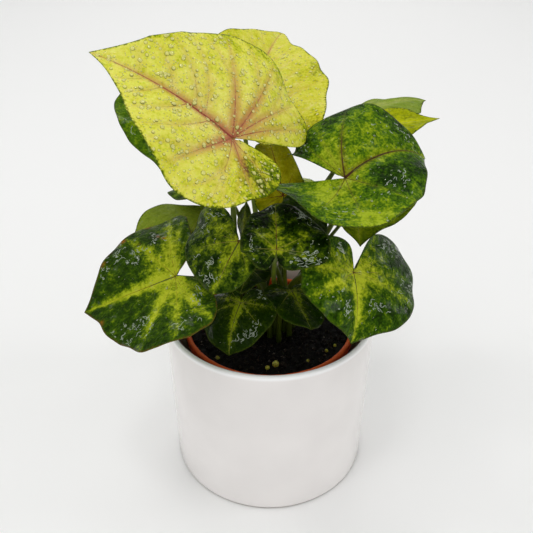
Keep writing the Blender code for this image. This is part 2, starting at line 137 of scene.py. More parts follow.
# Name, place, target, width and power of each lamp, in metres and watts
LAMPS = (
    ("lamp_over", (-0.5, -0.4, 2.2), (0, 0, 0.1), 1.2, 4.5),
    ("lamp_left", (-1.7, -1.2, 1.2), (0, 0, 0.15), 1.0, 2.2),
    ("lamp_right", (1.7, -1.1, 1.1), (0, 0, 0.15), 1.0, 2.2),
    ("lamp_front", (0, -2.2, 0.9), (0, 0, 0.1), 1.4, 4.0),
    ("lamp_back", (0, 2.0, 2.2), (0, 2.0, 0), 1.5, 15.5),
    ("glint_left", (-1.1, 0.05, 1.5), (0, 0, 0.15), 0.26, 2.6),
    ("glint_right", (1.1, 0.0, 1.4), (0, 0, 0.15), 0.26, 2.2),
    ("glint_over", (-0.1, -0.5, 1.9), (0, 0, 0.15), 0.26, 2.6),
)
for name, place, target, width, power in LAMPS:
    lamp = bpy.data.objects.new(name, bpy.data.lights.new(name, "AREA"))
    lamp.data.size = width
    lamp.data.energy = power
    lamp.location = place
    lamp.rotation_euler = (lamp.location - Vector(target)).to_track_quat("Z", "Y").to_euler()
    bpy.context.scene.collection.objects.link(lamp)
SKY_STRENGTH = 0.57
world = bpy.data.worlds.new("studio")
world.use_nodes = True
world.node_tree.nodes["Background"].inputs["Color"].default_value = linear("FFFFFF")
world.node_tree.nodes["Background"].inputs["Strength"].default_value = SKY_STRENGTH
bpy.context.scene.world = world


# Cover pot: a plain cylinder slip-cast in white stoneware and dipped in a glossy white tin glaze. The glaze
# covers all but the foot that it was fired on and has a faint orange-peel skin. Its colour is painted white
# along the lip, a painted highlight where the lip faces the light, and darker on the unglazed foot than
# bare stoneware, a painted contact shadow.
def arc(centre, radius, start, end, steps):
    """Points of a round stretch of a turned profile: centre plus radius times the cosine and sine."""
    angle = np.radians(np.linspace(start, end, steps + 1))
    return np.stack([centre[0] + radius * np.cos(angle), centre[1] + radius * np.sin(angle)], 1)


def capped(grid):
    """Points and faces of a grid whose columns close round. Its first and last rows are one point each, and
    fans of triangles close the grid there."""
    rows, columns = grid.shape[:2]
    points = np.concatenate([grid[0, :1], grid[1:-1].reshape(-1, 3), grid[-1, :1]])
    column = np.arange(columns)
    after = (column + 1) % columns
    last = len(points) - 1
    first_fan = np.stack([0 * column, 1 + column, 1 + after], 1)
    last_fan = np.stack([0 * column + last, last - columns + after, last - columns + column], 1)
    return points, [grid_faces(rows - 2, columns, closed=True, start=1), first_fan, last_fan]


def turned(profile, sides):
    """Turn a profile of radius and height round Z: x and y are the radius times the cosine and sine."""
    turn = np.linspace(0, 2 * np.pi, sides, endpoint=False)
    radius, height = profile[:, :1], profile[:, 1:]
    grid = np.stack(np.broadcast_arrays(radius * np.cos(turn), radius * np.sin(turn), height), -1)
    return capped(grid)


def add(material, kind, inputs=None, out=0, stops=None, **settings):
    """Add a shader node and give its first output or the one asked for. A socket given for an input is linked
    and any other value is set on it."""
    node = material.node_tree.nodes.new("ShaderNode" + kind)
    for name, value in settings.items():
        setattr(node, name, value)
    for key, value in (inputs or {}).items():
        if isinstance(value, bpy.types.NodeSocket):
            material.node_tree.links.new(value, node.inputs[key])
        else:
            node.inputs[key].default_value = value
    for number, (place, code) in enumerate(stops or ()):
        ramp = node.color_ramp.elements
        stop = ramp[number] if number < 2 else ramp.new(place)
        stop.position = place
        stop.color = linear(code)
    return node.outputs[out]


def link(material, sockets):
    """Link node outputs to the inputs of a material's Principled shader that are named with them."""
    for key, socket in sockets.items():
        material.node_tree.links.new(socket, material.node_tree.nodes["Principled BSDF"].inputs[key])


POT_RADIUS = 70.0
POT_HEIGHT = 118.0
POT_WALL = 3.6
POT_FOOT_RADIUS = 68.0
POT_FLOOR = 6.0
FLOOR_FILLET = 4.0
LIP_RADIUS = POT_WALL / 2
FOOT_ROUND = 1.5
POT_SIDES = 192
inner_foot = POT_FOOT_RADIUS - POT_WALL
profile = np.concatenate([
    [(0, POT_FLOOR)],
    arc((inner_foot - FLOOR_FILLET, POT_FLOOR + FLOOR_FILLET), FLOOR_FILLET, -90, 0, 8),
    arc((POT_RADIUS - LIP_RADIUS, POT_HEIGHT - LIP_RADIUS), LIP_RADIUS, 180, 0, 16),
    arc((POT_FOOT_RADIUS - FOOT_ROUND, FOOT_ROUND), FOOT_ROUND, 0, -90, 6),
    [(0, 0)],
])
points, faces = turned(profile, POT_SIDES)
cover_pot = new_mesh("cover_pot", points, faces)
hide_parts("pot")
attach(cover_pot, "root")

# Sockets of a Mix node that mixes colours
FACTOR = 0
COLOUR_A = 6
COLOUR_B = 7
MIXED = 2

LIT_LIP_BAND = (POT_HEIGHT - 3.4, POT_HEIGHT - 1.6)
BARE_FOOT_SHADE_BAND = (0.8, 1.7)
white_glaze = new_material("white_glaze", {"IOR": 1.5, "Coat Weight": 0.25, "Coat Roughness": 0.08})
place = add(white_glaze, "TexCoord", out="Object")
height = add(white_glaze, "SeparateXYZ", {"Vector": place}, out="Z")
cloud = add(white_glaze, "TexNoise", {"Vector": place, "Scale": 1 / (38 * MM), "Detail": 2.0})
pooling_and_lit_lip = add(white_glaze, "ValToRGB", {"Fac": cloud}, stops=[(0.3, "EDE9E7"), (0.7, "F3EFED")])
# Painted highlight: along the lip the glaze's colour is mixed to pure white, where the lip faces the light.
lit_lip = add(white_glaze, "MapRange", {"Value": height, "From Min": LIT_LIP_BAND[0] * MM,
                                    "From Max": LIT_LIP_BAND[1] * MM})
pooling_and_lit_lip = add(white_glaze, "Mix", {FACTOR: lit_lip, COLOUR_A: pooling_and_lit_lip, COLOUR_B: linear("FFFFFF")},
              out=MIXED, data_type="RGBA")
# Bare foot: unglazed stoneware, painted darker than its own colour as a painted contact shadow under the pot.
glazed_above_foot_shade = add(white_glaze, "MapRange", {"Value": height, "From Min": BARE_FOOT_SHADE_BAND[0] * MM,
                                       "From Max": BARE_FOOT_SHADE_BAND[1] * MM})
colour = add(white_glaze, "Mix", {FACTOR: glazed_above_foot_shade, COLOUR_A: linear("8E867E"), COLOUR_B: pooling_and_lit_lip},
             out=MIXED, data_type="RGBA")
peel = add(white_glaze, "TexNoise", {"Vector": place, "Scale": 1 / (2.5 * MM), "Detail": 1.0})
dull = add(white_glaze, "MapRange", {"Value": glazed_above_foot_shade, "To Min": 0.75, "To Max": 0.24})
relief = add(white_glaze, "Bump", {"Height": peel, "Strength": 0.12, "Distance": 0.1 * MM})
link(white_glaze, {"Base Color": colour, "Roughness": dull, "Normal": relief})
cover_pot.data.materials.append(white_glaze)


# Grower's pot: thin terracotta-brown polypropylene, moulded with a rolled rim and drain holes. It is the CAD
# solid itself. Moulding leaves it satin and handling leaves it scuffed. Its rim is painted a lighter orange,
# a painted highlight where the top of the rim catches the light.
LIT_RIM_BAND = (105, 107)
brown_plastic = new_material("brown_polypropylene", {"IOR": 1.49, "Specular IOR Level": 0.15})
place = add(brown_plastic, "TexCoord", out="Object")
scuff = add(brown_plastic, "TexNoise", {"Vector": place, "Scale": 1 / (6 * MM), "Detail": 4.0,
                                        "Roughness": 0.65})
colour = add(brown_plastic, "ValToRGB", {"Fac": scuff},
             stops=[(0.3, "5A1A08"), (0.46, "A8380F"), (0.62, "C44618"), (0.78, "CE5C2C")])
height = add(brown_plastic, "SeparateXYZ", {"Vector": place}, out="Z")
# Painted highlight: above this band the colour is mixed to a light orange along the top of the rim.
rim = add(brown_plastic, "MapRange", {"Value": height, "From Min": LIT_RIM_BAND[0] * MM,
                                      "From Max": LIT_RIM_BAND[1] * MM})
colour = add(brown_plastic, "Mix", {FACTOR: rim, COLOUR_A: colour, COLOUR_B: linear("EC6A34")},
             out=MIXED, data_type="RGBA")
dull = add(brown_plastic, "MapRange", {"Value": scuff, "To Min": 0.3, "To Max": 0.55})
grain = add(brown_plastic, "TexNoise", {"Vector": place, "Scale": 1 / (0.8 * MM), "Detail": 1.0})
relief = add(brown_plastic, "Bump", {"Height": grain, "Strength": 0.25, "Distance": 0.1 * MM})
link(brown_plastic, {"Base Color": colour, "Roughness": dull, "Normal": relief})
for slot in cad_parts["nursery_pot"].material_slots:
    slot.material = brown_plastic


# Potting mix: moist peat and bark fines filled to just under the rim, near black while wet. Coarser crumbs,
# a few root fibres and the waxy yellow-green beads of slow-release feed lie on it.
def lie_of_mix(x, y):
    """Rise of the mix over its level: low mounds, a product of two sines plus a finer sine across them, and
    clods, a sum of sines of seeded directions whose lengths run from 9 mm down to 1.4 mm."""
    mounds = np.sin(x / 7.3 + 0.6) * np.cos(y / 8.1 - 0.4) + 0.6 * np.sin(x / 3.9 - y / 5.2)
    draw = np.random.default_rng(5)
    length = np.geomspace(*CLOD_LENGTHS, CLOD_SINES)
    turn = draw.uniform(0, 2 * np.pi, CLOD_SINES)
    start = draw.uniform(0, 2 * np.pi, CLOD_SINES)
    run = (x[..., None] * np.cos(turn) + y[..., None] * np.sin(turn)) / length
    clods = (np.sin(2 * np.pi * run + start) * length ** 0.75).sum(-1)
    return MOUND_HEIGHT * mounds + CLOD_HEIGHT * clods


def mix_height(x, y):
    """Height of the mix, which lies level where it meets the pot."""
    return SOIL_TOP + lie_of_mix(x, y) * (1 - (np.hypot(x, y) / SOIL_RADIUS) ** 8)


def copied(faces, size, count):
    """Arrays of faces for copies of a mesh, each of as many points as size says."""
    starts = size * np.arange(count)[:, None, None]
    return [(block[None] + starts).reshape(-1, block.shape[1]) for block in faces]


def joined(parts):
    """Points and arrays of faces of parts taken together."""
    starts = np.cumsum([0] + [len(part[0]) for part in parts])
    return (np.concatenate([part[0] for part in parts]),
            [block + start for part, start in zip(parts, starts) for block in part[1]])


def tube(spine, across, up, width, sides, height=1.0):
    """A tube closed at both ends: the spine plus the width times the cosine across it and, times the height,
    the sine up from it."""
    turn = np.linspace(0, 2 * np.pi, sides, endpoint=False)[:, None]
    section = across[:, None] * np.cos(turn) + up[:, None] * (height * np.sin(turn))
    ends = [np.repeat(spine[end, None, None], sides, 1) for end in (0, -1)]
    return capped(np.concatenate([ends[0], spine[:, None] + section * width[:, None, None], ends[1]]))


SOIL_TOP = 102.0
SOIL_RADIUS = 53.2
SOIL_FOOT_RADIUS = 41.4
SOIL_BOTTOM = 7.9
SOIL_SIDES = 288
SOIL_RINGS = 70
MOUND_HEIGHT = 0.8125
CLOD_SINES = 26
CLOD_LENGTHS = (9, 1.4)
CLOD_HEIGHT = 0.055
ring = np.linspace(0, SOIL_RADIUS, SOIL_RINGS)
profile = np.concatenate([np.stack([ring, np.full(SOIL_RINGS, SOIL_TOP)], 1),
                          [(SOIL_FOOT_RADIUS, SOIL_BOTTOM), (0, SOIL_BOTTOM)]])
points, faces = turned(profile, SOIL_SIDES)
top = points[:, 2] > SOIL_TOP - 1
points[top, 2] = mix_height(points[top, 0], points[top, 1])
mix = new_mesh("mix", points, [block[:, ::-1] for block in faces])
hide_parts("soil")
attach(mix, "root")

CRUMBS = 2100
CRUMB_MARGIN = 1.5
SMALLEST_CRUMB = 0.35
CRUMB_SPREAD = 1.5
CRUMB_STRETCH = (0.55, 1.25)
CRUMB_DENTS = (0.75, 1.15)
GOLDEN_RATIO = 1.618
CORNER_REACH = 1.902
NEIGHBOUR = 1.2
draw = np.random.default_rng(8)
# An icosahedron of radius one: its twelve corners, and its sides, each of three corners near each other
corners = np.array([(short, long * GOLDEN_RATIO, 0) for short in (-1, 1) for long in (-1, 1)])
corners = np.concatenate([np.roll(corners, shift, 1) for shift in range(3)]) / CORNER_REACH
gaps = np.linalg.norm(corners[:, None] - corners[None], axis=-1)
near = (gaps > 0) & (gaps < NEIGHBOUR)
every = range(len(corners))
sides = [(a, b, c) for a in every for b in every[a + 1:] for c in every[b + 1:]
         if near[a, b] and near[b, c] and near[a, c]]
sides = np.array([side if np.linalg.det(corners[list(side)]) > 0 else side[::-1] for side in sides])
radius = (SOIL_RADIUS - CRUMB_MARGIN) * np.sqrt(draw.random(CRUMBS))
turn = draw.uniform(0, 2 * np.pi, CRUMBS)
x, y = radius * np.cos(turn), radius * np.sin(turn)
size = SMALLEST_CRUMB + CRUMB_SPREAD * draw.random(CRUMBS) ** 4
stretch = size[:, None] * draw.uniform(*CRUMB_STRETCH, (CRUMBS, 3))
tumbles = np.linalg.qr(draw.normal(size=(CRUMBS, 3, 3)))[0]
tumbles[:, :, 0] *= np.linalg.det(tumbles)[:, None]
dents = draw.uniform(*CRUMB_DENTS, (CRUMBS, len(corners), 1))
centre = np.stack([x, y, mix_height(x, y) + 0.25 * size], 1)
points = centre[:, None] + (corners * dents * stretch[:, None]) @ tumbles
shade = np.repeat(draw.random(CRUMBS), len(corners))
crumbs = new_mesh("crumbs", points.reshape(-1, 3), copied([sides], len(corners), CRUMBS), shade=shade)
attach(crumbs, "root")

FIBRES = 90
FIBRE_MARGIN = 9
FIBRE_STEPS = 9
FIBRE_SIDES = 5
FIBRE_LENGTHS = (2, 9)
FIBRE_WIDTHS = (0.09, 0.3)
FIBRE_CURL = 2.5
FIBRE_REST = 0.25
FIBRE_RISE = 1.6
step = np.linspace(0, 1, FIBRE_STEPS)
reach = (SOIL_RADIUS - FIBRE_MARGIN) * np.sqrt(draw.random((FIBRES, 1)))
turn = draw.uniform(0, 2 * np.pi, (FIBRES, 1))
heading = draw.uniform(0, 2 * np.pi, (FIBRES, 1)) + draw.uniform(-FIBRE_CURL, FIBRE_CURL, (FIBRES, 1)) * step
run = draw.uniform(*FIBRE_LENGTHS, (FIBRES, 1)) / (FIBRE_STEPS - 1)
x = reach * np.cos(turn) + np.cumsum(run * np.cos(heading), 1)
y = reach * np.sin(turn) + np.cumsum(run * np.sin(heading), 1)
lift = FIBRE_REST + draw.uniform(0, FIBRE_RISE, (FIBRES, 1)) * np.sin(np.pi * step)
spines = np.stack([x, y, SOIL_TOP + lie_of_mix(x, y) + lift], -1)
widths = draw.uniform(*FIBRE_WIDTHS, (FIBRES, 1)) * np.sqrt(1.02 - step)
across = np.stack([-np.sin(heading), np.cos(heading), 0 * heading], -1)
up = np.broadcast_to((0, 0, 1.0), spines.shape)
tubes = [tube(*lines, FIBRE_SIDES) for lines in zip(spines, across, up, widths)]
points, faces = joined(tubes)
shade = np.repeat(draw.uniform(0.4, 1.1, FIBRES), len(tubes[0][0]))
fibres = new_mesh("fibres", points, [block[:, ::-1] for block in faces], shade=shade)
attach(fibres, "root")

moist_mix = new_material("moist_potting_mix", {"IOR": 1.4, "Specular IOR Level": 0.2})
place = add(moist_mix, "TexCoord", out="Object")
fines = add(moist_mix, "TexNoise", {"Vector": place, "Scale": 1 / (1.6 * MM), "Detail": 4.0,
                                    "Roughness": 0.7})
bits = add(moist_mix, "Attribute", out="Fac", attribute_name="shade")
level = add(moist_mix, "Math", {0: bits, 1: 0.34, 2: fines}, operation="MULTIPLY_ADD")
colour = add(moist_mix, "ValToRGB", {"Fac": level},
             stops=[(0.38, "040303"), (0.56, "0C0907"), (0.74, "1A130E"), (0.9, "32281F"),
                    (0.97, "A09A8C")])
dull = add(moist_mix, "MapRange", {"Value": fines, "To Min": 0.95, "To Max": 0.35})
relief = add(moist_mix, "Bump", {"Height": fines, "Strength": 0.8, "Distance": 0.6 * MM})
link(moist_mix, {"Base Color": colour, "Roughness": dull, "Normal": relief})
for piece in (mix, crumbs, fibres):
    piece.data.materials.append(moist_mix)

# x, y and radius of each bead
BEADS = ((3.6, -40.7, 2.2), (-1.6, -43.4, 1.5), (-33.7, -32.2, 1.4), (36.8, -26.2, 1.3), (42.9, -20.0, 1.1),
         (24.3, -36.0, 1.0), (-38.0, 12.0, 1.5), (14.0, 40.0, 1.6), (-12.0, 30.0, 1.5), (36.0, 22.0, 1.5),
         (-27.0, -14.0, 1.4))
BEAD_SIDES = 14
BEAD_BANDS = 9
x, y, size = np.array(BEADS).T
ball, faces = turned(arc((0, 0), 1, -90, 90, BEAD_BANDS), BEAD_SIDES)
centre = np.stack([x, y, SOIL_TOP + lie_of_mix(x, y) + 0.45 * size], 1)
points = centre[:, None] + ball * size[:, None, None]
beads = new_mesh("feed_beads", points.reshape(-1, 3), copied(faces, len(ball), len(BEADS)))
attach(beads, "root")
bead_wax = new_material("yellow_green_bead_wax", {"IOR": 1.45, "Subsurface Weight": 0.3,
                                                  "Subsurface Scale": 0.6 * MM})
place = add(bead_wax, "TexCoord", out="Object")
spots = add(bead_wax, "TexNoise", {"Vector": place, "Scale": 1 / (1.2 * MM), "Detail": 2.0})
colour = add(bead_wax, "ValToRGB", {"Fac": spots},
             stops=[(0.35, "7C7A1C"), (0.5, "A8A536"), (0.7, "C9C65A")])
dull = add(bead_wax, "MapRange", {"Value": spots, "To Min": 0.25, "To Max": 0.5})
link(bead_wax, {"Base Color": colour, "Roughness": dull})
beads.data.materials.append(bead_wax)


# Leaves, what all share: a heart-shaped blade on a round stalk that runs on below it as the midrib. The
# places round the blade are given by ring, 0 at the junction and 1 at the margin, and by spoke, 0 at the
# tip and 1 or -1 in the sinus between the lobes. Lengths in mm, angles in degrees, pairs are left, right.
LEAF = dict(length=50, halves=(30, 30), lobes=(20, 20), point=0.2, swell=0.1, notch=13, gap=7, skew=0,
            folds=(8, 8), droops=(20, 20), arch=20, lobe_arches=(10, 10), twist=0, wave=0.8, waves=5,
            roll=0, stalk=1.8, arrive=0.55, lean=(0, 0), ragged=0.03, ruffle=0.7)
TIP_WIDTH = 0.06
SWELL_PLACE = 0.74
SWELL_WIDTH = 0.15
RAGS = (13, 21, 34, 55)
RUFFLES = (17, 29)
CALM_AT_TIP = 0.12
NEARLY_STRAIGHT = 1e-5
BLADE_THICKNESS = 0.8
SINUS_END = 0.9995


def by_side(leaf, key, side):
    """The left or the right one of a pair of the leaf's values."""
    return np.where(side > 0, leaf[key][0], leaf[key][1])


def outline(leaf, spoke):
    """Distance from the junction to the margin: one, with a swelling in the lobes, a point at the tip and a
    slight raggedness, a sum of sines, times a root that closes the lobes into the sinus."""
    phi = np.abs(spoke)
    ragged = sum(np.sin(turns * spoke + leaf["phase"] * turns) / turns ** 0.5 for turns in RAGS)
    body = 1 + leaf["swell"] * np.exp(-((phi - SWELL_PLACE) / SWELL_WIDTH) ** 2) + leaf["ragged"] * ragged
    tip = leaf["point"] * np.exp(-phi / TIP_WIDTH)
    return (body + tip) * np.sqrt(1 - phi ** leaf["notch"])


def flat_blade(leaf, ring, spoke):
    """Places on the flat blade, x along the midrib and y to its left: ring times reach times the cosine and
    sine of the spoke's angle, stretched by the blade's length, lobe and half width."""
    side = np.where(spoke < 0, -1.0, 1.0)
    reach = ring * outline(leaf, spoke)
    angle = spoke * math.radians(180 - leaf["gap"]) + math.radians(leaf["skew"]) * spoke ** 2
    ahead = np.where(np.cos(angle) > 0, leaf["length"] / (1 + leaf["point"]), by_side(leaf, "lobes", side))
    return reach * ahead * np.cos(angle), reach * by_side(leaf, "halves", side) * np.sin(angle), side


def place_on_blade(leaf, x, y):
    """Ring and spoke of a place on the flat blade ahead of the sinus, the inverse of flat_blade."""
    half = by_side(leaf, "halves", y)
    ahead = np.where(x > 0, leaf["length"] / (1 + leaf["point"]), by_side(leaf, "lobes", y))
    angle = np.arctan2(y / half, x / ahead)
    wide, skew = math.radians(180 - leaf["gap"]), math.radians(leaf["skew"])
    spoke = 2 * angle / (wide + np.sqrt(np.maximum(wide ** 2 + 4 * skew * angle, 0)))
    return np.hypot(x / ahead, y / half) / outline(leaf, spoke), spoke


def axes(leaf):
    """The leaf's own directions: along the midrib, to its left, and out of its upper face."""
    heading, pitch, roll = (math.radians(leaf[key]) for key in ("heading", "pitch", "roll"))
    midrib = np.array([math.cos(heading) * math.cos(pitch), math.sin(heading) * math.cos(pitch),
                       math.sin(pitch)])
    level = np.array([-math.sin(heading), math.cos(heading), 0])
    normal = np.cross(midrib, level)
    left = level * math.cos(roll) + normal * math.sin(roll)
    return midrib, left, normal * math.cos(roll) - level * math.sin(roll)


def on_blade(leaf, ring, spoke):
    """Places on the grown blade: the flat one with its halves bent to arcs across, twisted along its length,
    its midrib and lobes bent to arcs too, and its margin waved and ruffled, set at the leaf's place."""
    x, y, side = flat_blade(leaf, ring, spoke)
    fold = np.radians(by_side(leaf, "folds", side))
    rate = np.radians(by_side(leaf, "droops", side)) / by_side(leaf, "halves", side)
    rate = np.where(np.abs(rate) < NEARLY_STRAIGHT, NEARLY_STRAIGHT, rate)
    across = (np.sin(fold) - np.sin(fold - rate * y * side)) / rate * side
    up = (np.cos(fold - rate * y * side) - np.cos(fold)) / rate
    up = up + leaf["wave"] * ring ** 3 * np.sin(leaf["waves"] * math.pi * spoke + leaf["phase"])
    ruffle = np.sin(RUFFLES[0] * spoke + leaf["phase"]) + 0.7 * np.sin(RUFFLES[1] * spoke - 2 * leaf["phase"])
    up = up + leaf["ruffle"] * ring ** 4 * ruffle * (1 - np.exp(-(spoke / CALM_AT_TIP) ** 2))
    twist = math.radians(leaf["twist"]) * x / leaf["length"]
    across, up = across * np.cos(twist) - up * np.sin(twist), across * np.sin(twist) + up * np.cos(twist)
    lobe_turn = by_side(leaf, "lobe_arches", side) / by_side(leaf, "lobes", side)
    turn = np.radians(np.where(x > 0, leaf["arch"] / leaf["length"], lobe_turn))
    turn = np.where(np.abs(turn) < NEARLY_STRAIGHT, NEARLY_STRAIGHT, turn)
    along = np.sin(turn * x) / turn + up * np.sin(turn * x)
    height = (np.cos(turn * x) - 1) / turn + up * np.cos(turn * x)
    midrib, left, face = axes(leaf)
    return leaf["at"] + along[..., None] * midrib + across[..., None] * left + height[..., None] * face


def unit(vectors):
    """Vectors at length one."""
    return vectors / np.maximum(np.linalg.norm(vectors, axis=-1, keepdims=True), 1e-9)


def across_steps(leaf, ring, spoke):
    """Cross product of a short step on the grown blade along the ring and one round the spokes."""
    outward = on_blade(leaf, ring + 0.01, spoke) - on_blade(leaf, ring - 0.01, spoke)
    onward = on_blade(leaf, ring, spoke + 0.005) - on_blade(leaf, ring, spoke - 0.005)
    return np.cross(outward, onward)


def out_of_blade(leaf, ring, spoke):
    """The upper face's normal, taken a little inside the blade's ends."""
    return unit(across_steps(leaf, np.clip(ring, 0.02, 0.99), np.clip(spoke, -0.99, 0.99)))


# Veins of every leaf: the midrib, the veins that fan from the junction into the lobes, their forks, and the
# side veins of the midrib, which leave it at about 50 degrees and bend to the tip. Half widths in mm. A fork
# is given by its fan vein, the ring where it leaves, and the spoke where it ends.
VEIN_STEPS = 34
VEIN_SIDES = 6
VEIN_HEIGHT = 0.42
VEIN_TAPER = 0.78
VEIN_END = 0.95
MIDRIB_END = 0.985
FAN_ENDS = (0.35, 0.53, 0.72, 0.89)
FORKS = ((0, 0.45, 0.28), (1, 0.4, 0.44), (1, 0.6, 0.60), (2, 0.45, 0.63), (2, 0.6, 0.79), (3, 0.5, 0.82))
SIDE_STARTS = (0.17, 0.33, 0.5, 0.66)
SIDE_ENDS = (0.225, 0.16, 0.105, 0.06)
MIDRIB_WIDTH = 0.75
FAN_WIDTH = 0.45
SIDE_WIDTH = 0.33
FORK_WIDTH = 0.22


def fan_bend(end, ring):
    """A fan vein's spoke at a ring as a share of its last one: a little more, or less in the rear lobes."""
    return 1 + (0.07 if end < 0.7 else -0.03) * (1 - ring)


def vein_routes(leaf, draw):
    """Ring and spoke along each vein with its half width at the start. A fan vein keeps its spoke but for a
    slight bend, a fork goes from it to the margin, and a side vein is a parabola on the flat blade."""
    step = np.linspace(0, 1, VEIN_STEPS)
    routes = [(step * MIDRIB_END, 0 * step, MIDRIB_WIDTH)]
    fans = {side: [end + draw.uniform(-0.03, 0.03) for end in FAN_ENDS] for side in (-1, 1)}
    for side, ends in fans.items():
        routes += [(step * VEIN_END, side * end * fan_bend(end, step), FAN_WIDTH) for end in ends]
    for side, ends in fans.items():
        for root, start, end in FORKS:
            start = start + draw.uniform(-0.05, 0.05)
            leave = ends[root] * fan_bend(ends[root], start)
            routes.append((start + (VEIN_END - start) * step, side * (leave + (end - leave) * step ** 0.9),
                           FORK_WIDTH))
        for start, end in zip(SIDE_STARTS, SIDE_ENDS):
            start = (start + draw.uniform(-0.05, 0.05)) * leaf["length"]
            end_x, end_y, _ = flat_blade(leaf, VEIN_END, side * end)
            x = start + (end_x - start) * (0.55 * step + 0.45 * step ** 2)
            y = end_y * (1.3 * step - 0.3 * step ** 2)
            ring, spoke = place_on_blade(leaf, x[1:], y[1:])
            routes.append((np.append(start / leaf["length"], ring), np.append(0, spoke), SIDE_WIDTH))
    return routes


def vein_parts(leaf, routes, sizes):
    """Each vein as a tube of lens section along its route on the upper face, thinning to its end."""
    parts = []
    step = np.linspace(0, 1, VEIN_STEPS)
    for (ring, spoke, width), size in zip(routes, sizes):
        spine = on_blade(leaf, ring, spoke)
        up = out_of_blade(leaf, ring, spoke)
        across = unit(np.cross(unit(np.gradient(spine, axis=0)), up))
        wide = width * size * (1 - VEIN_TAPER * step) * np.minimum(1, 40 * (1 - step))
        share = np.clip(0.5 * ring + 0.5 * (1 - width / MIDRIB_WIDTH), 0, 1)
        share = np.concatenate([share[:1], np.repeat(share, VEIN_SIDES), share[-1:]])
        parts.append((*tube(spine, across, up, wide, VEIN_SIDES, VEIN_HEIGHT), 1, {"share": share}))
    return parts


STALK_DEPTH = 14.0
STALK_RISE = 4.0
STALK_TAPER = 0.62
STALK_STEPS = 30
STALK_SIDES = 12
STALK_PULLS = (0.4, 0.3)
RIB_STEPS = 14
RIB_PLACES = (0.1, 0.72)
RIB_WIDTHS = (0.95, 0.25)
SHEATH = 0.35
SHEATH_HEIGHT = 22.0


def stalk_part(leaf):
    """The stalk, a round tube along a cubic curve from upright out of the mix to the junction, then along
    the midrib's underside. Its radius falls by over a third, and swells to a sheath at the foot."""
    x, y = leaf["foot"]
    thick = leaf["stalk"]
    thin = thick * STALK_TAPER
    midrib, _, face = axes(leaf)
    start = np.array([x, y, SOIL_TOP + STALK_RISE])
    end = np.array(leaf["at"]) - face * (thin * 0.5 + BLADE_THICKNESS * 0.5) - midrib * 0.5
    span = np.linalg.norm(end - start)
    first = start + np.array([*leaf["lean"], 1]) * span * STALK_PULLS[0]
    second = end - unit(midrib * leaf["arrive"] + face) * span * STALK_PULLS[1]
    t = np.linspace(0, 1, STALK_STEPS)[:, None]
    curve = start * (1 - t) ** 3 + first * 3 * t * (1 - t) ** 2 + second * 3 * t ** 2 * (1 - t) + end * t ** 3
    share = np.linspace(*RIB_PLACES, RIB_STEPS)
    rib_radius = thin * np.linspace(*RIB_WIDTHS, RIB_STEPS)
    rib = on_blade(leaf, share, 0 * share) - face * (BLADE_THICKNESS * 0.5 + rib_radius * 0.4)[:, None]
    spine = np.concatenate([[(x, y, SOIL_TOP - STALK_DEPTH)], curve, rib])
    radius = np.concatenate([[thick], thick + (thin - thick) * t[:, 0], rib_radius])
    radius = radius * (1 + SHEATH * np.exp(-np.maximum(spine[:, 2] - SOIL_TOP, 0) / SHEATH_HEIGHT))
    ahead = unit(np.gradient(spine, axis=0))
    level = unit(np.cross([0, 0, 1.0], end - start + np.array([0.001, 0, 0])))
    across = unit(level - (ahead @ level)[:, None] * ahead)
    run = np.clip((spine[:, 2] - SOIL_TOP) / (end[2] - SOIL_TOP), 0, 1)
    run = np.concatenate([[0], np.repeat(run, STALK_SIDES), [1]])
    return *tube(spine, across, np.cross(across, ahead), radius, STALK_SIDES), 2, {"share": run}


def away_from(x, y, line_x, line_y, scale=1.0):
    """Distance of each place to the nearest point of a line, times the line's scale there."""
    return np.stack([(np.hypot(row_x[:, None] - line_x, row_y[:, None] - line_y) * scale).min(1)
                     for row_x, row_y in zip(x, y)])


def near_vein(leaf, routes, ring, spoke):
    """Distance in mm from places on the flat blade to the nearest vein, longer beside a thin one."""
    x, y, _ = flat_blade(leaf, ring, spoke)
    lines = [(*flat_blade(leaf, route[0], route[1])[:2], 0 * route[0] + route[2]) for route in routes]
    line_x, line_y, line_width = np.concatenate(lines, axis=1)
    return away_from(x, y, line_x, line_y, (MIDRIB_WIDTH / line_width) ** 0.5)


def spot(leaf, x, y, ring, spoke, size):
    """A bell curve round a place on the flat blade, one there and falling away by its size in mm."""
    spot_x, spot_y, _ = flat_blade(leaf, ring, np.float64(spoke))
    return np.exp(-((x - spot_x) ** 2 + (y - spot_y) ** 2) / size ** 2)


BULGE_WIDTH = 2.6
SHEET_GAP = (0.25, 0.3)


def skin(leaf, look, routes, ring, spoke):
    """Places on the upper face and its normals. The face bulges between the veins, by one minus a bell curve
    of the distance to the nearest vein."""
    up = out_of_blade(leaf, ring, spoke)
    bell = np.exp(-(near_vein(leaf, routes, ring, spoke) / BULGE_WIDTH) ** 2)
    bulge = look["quilt"] * (1 - bell) * (1 - ring ** 5)
    return on_blade(leaf, ring, spoke) + up * bulge[..., None], up


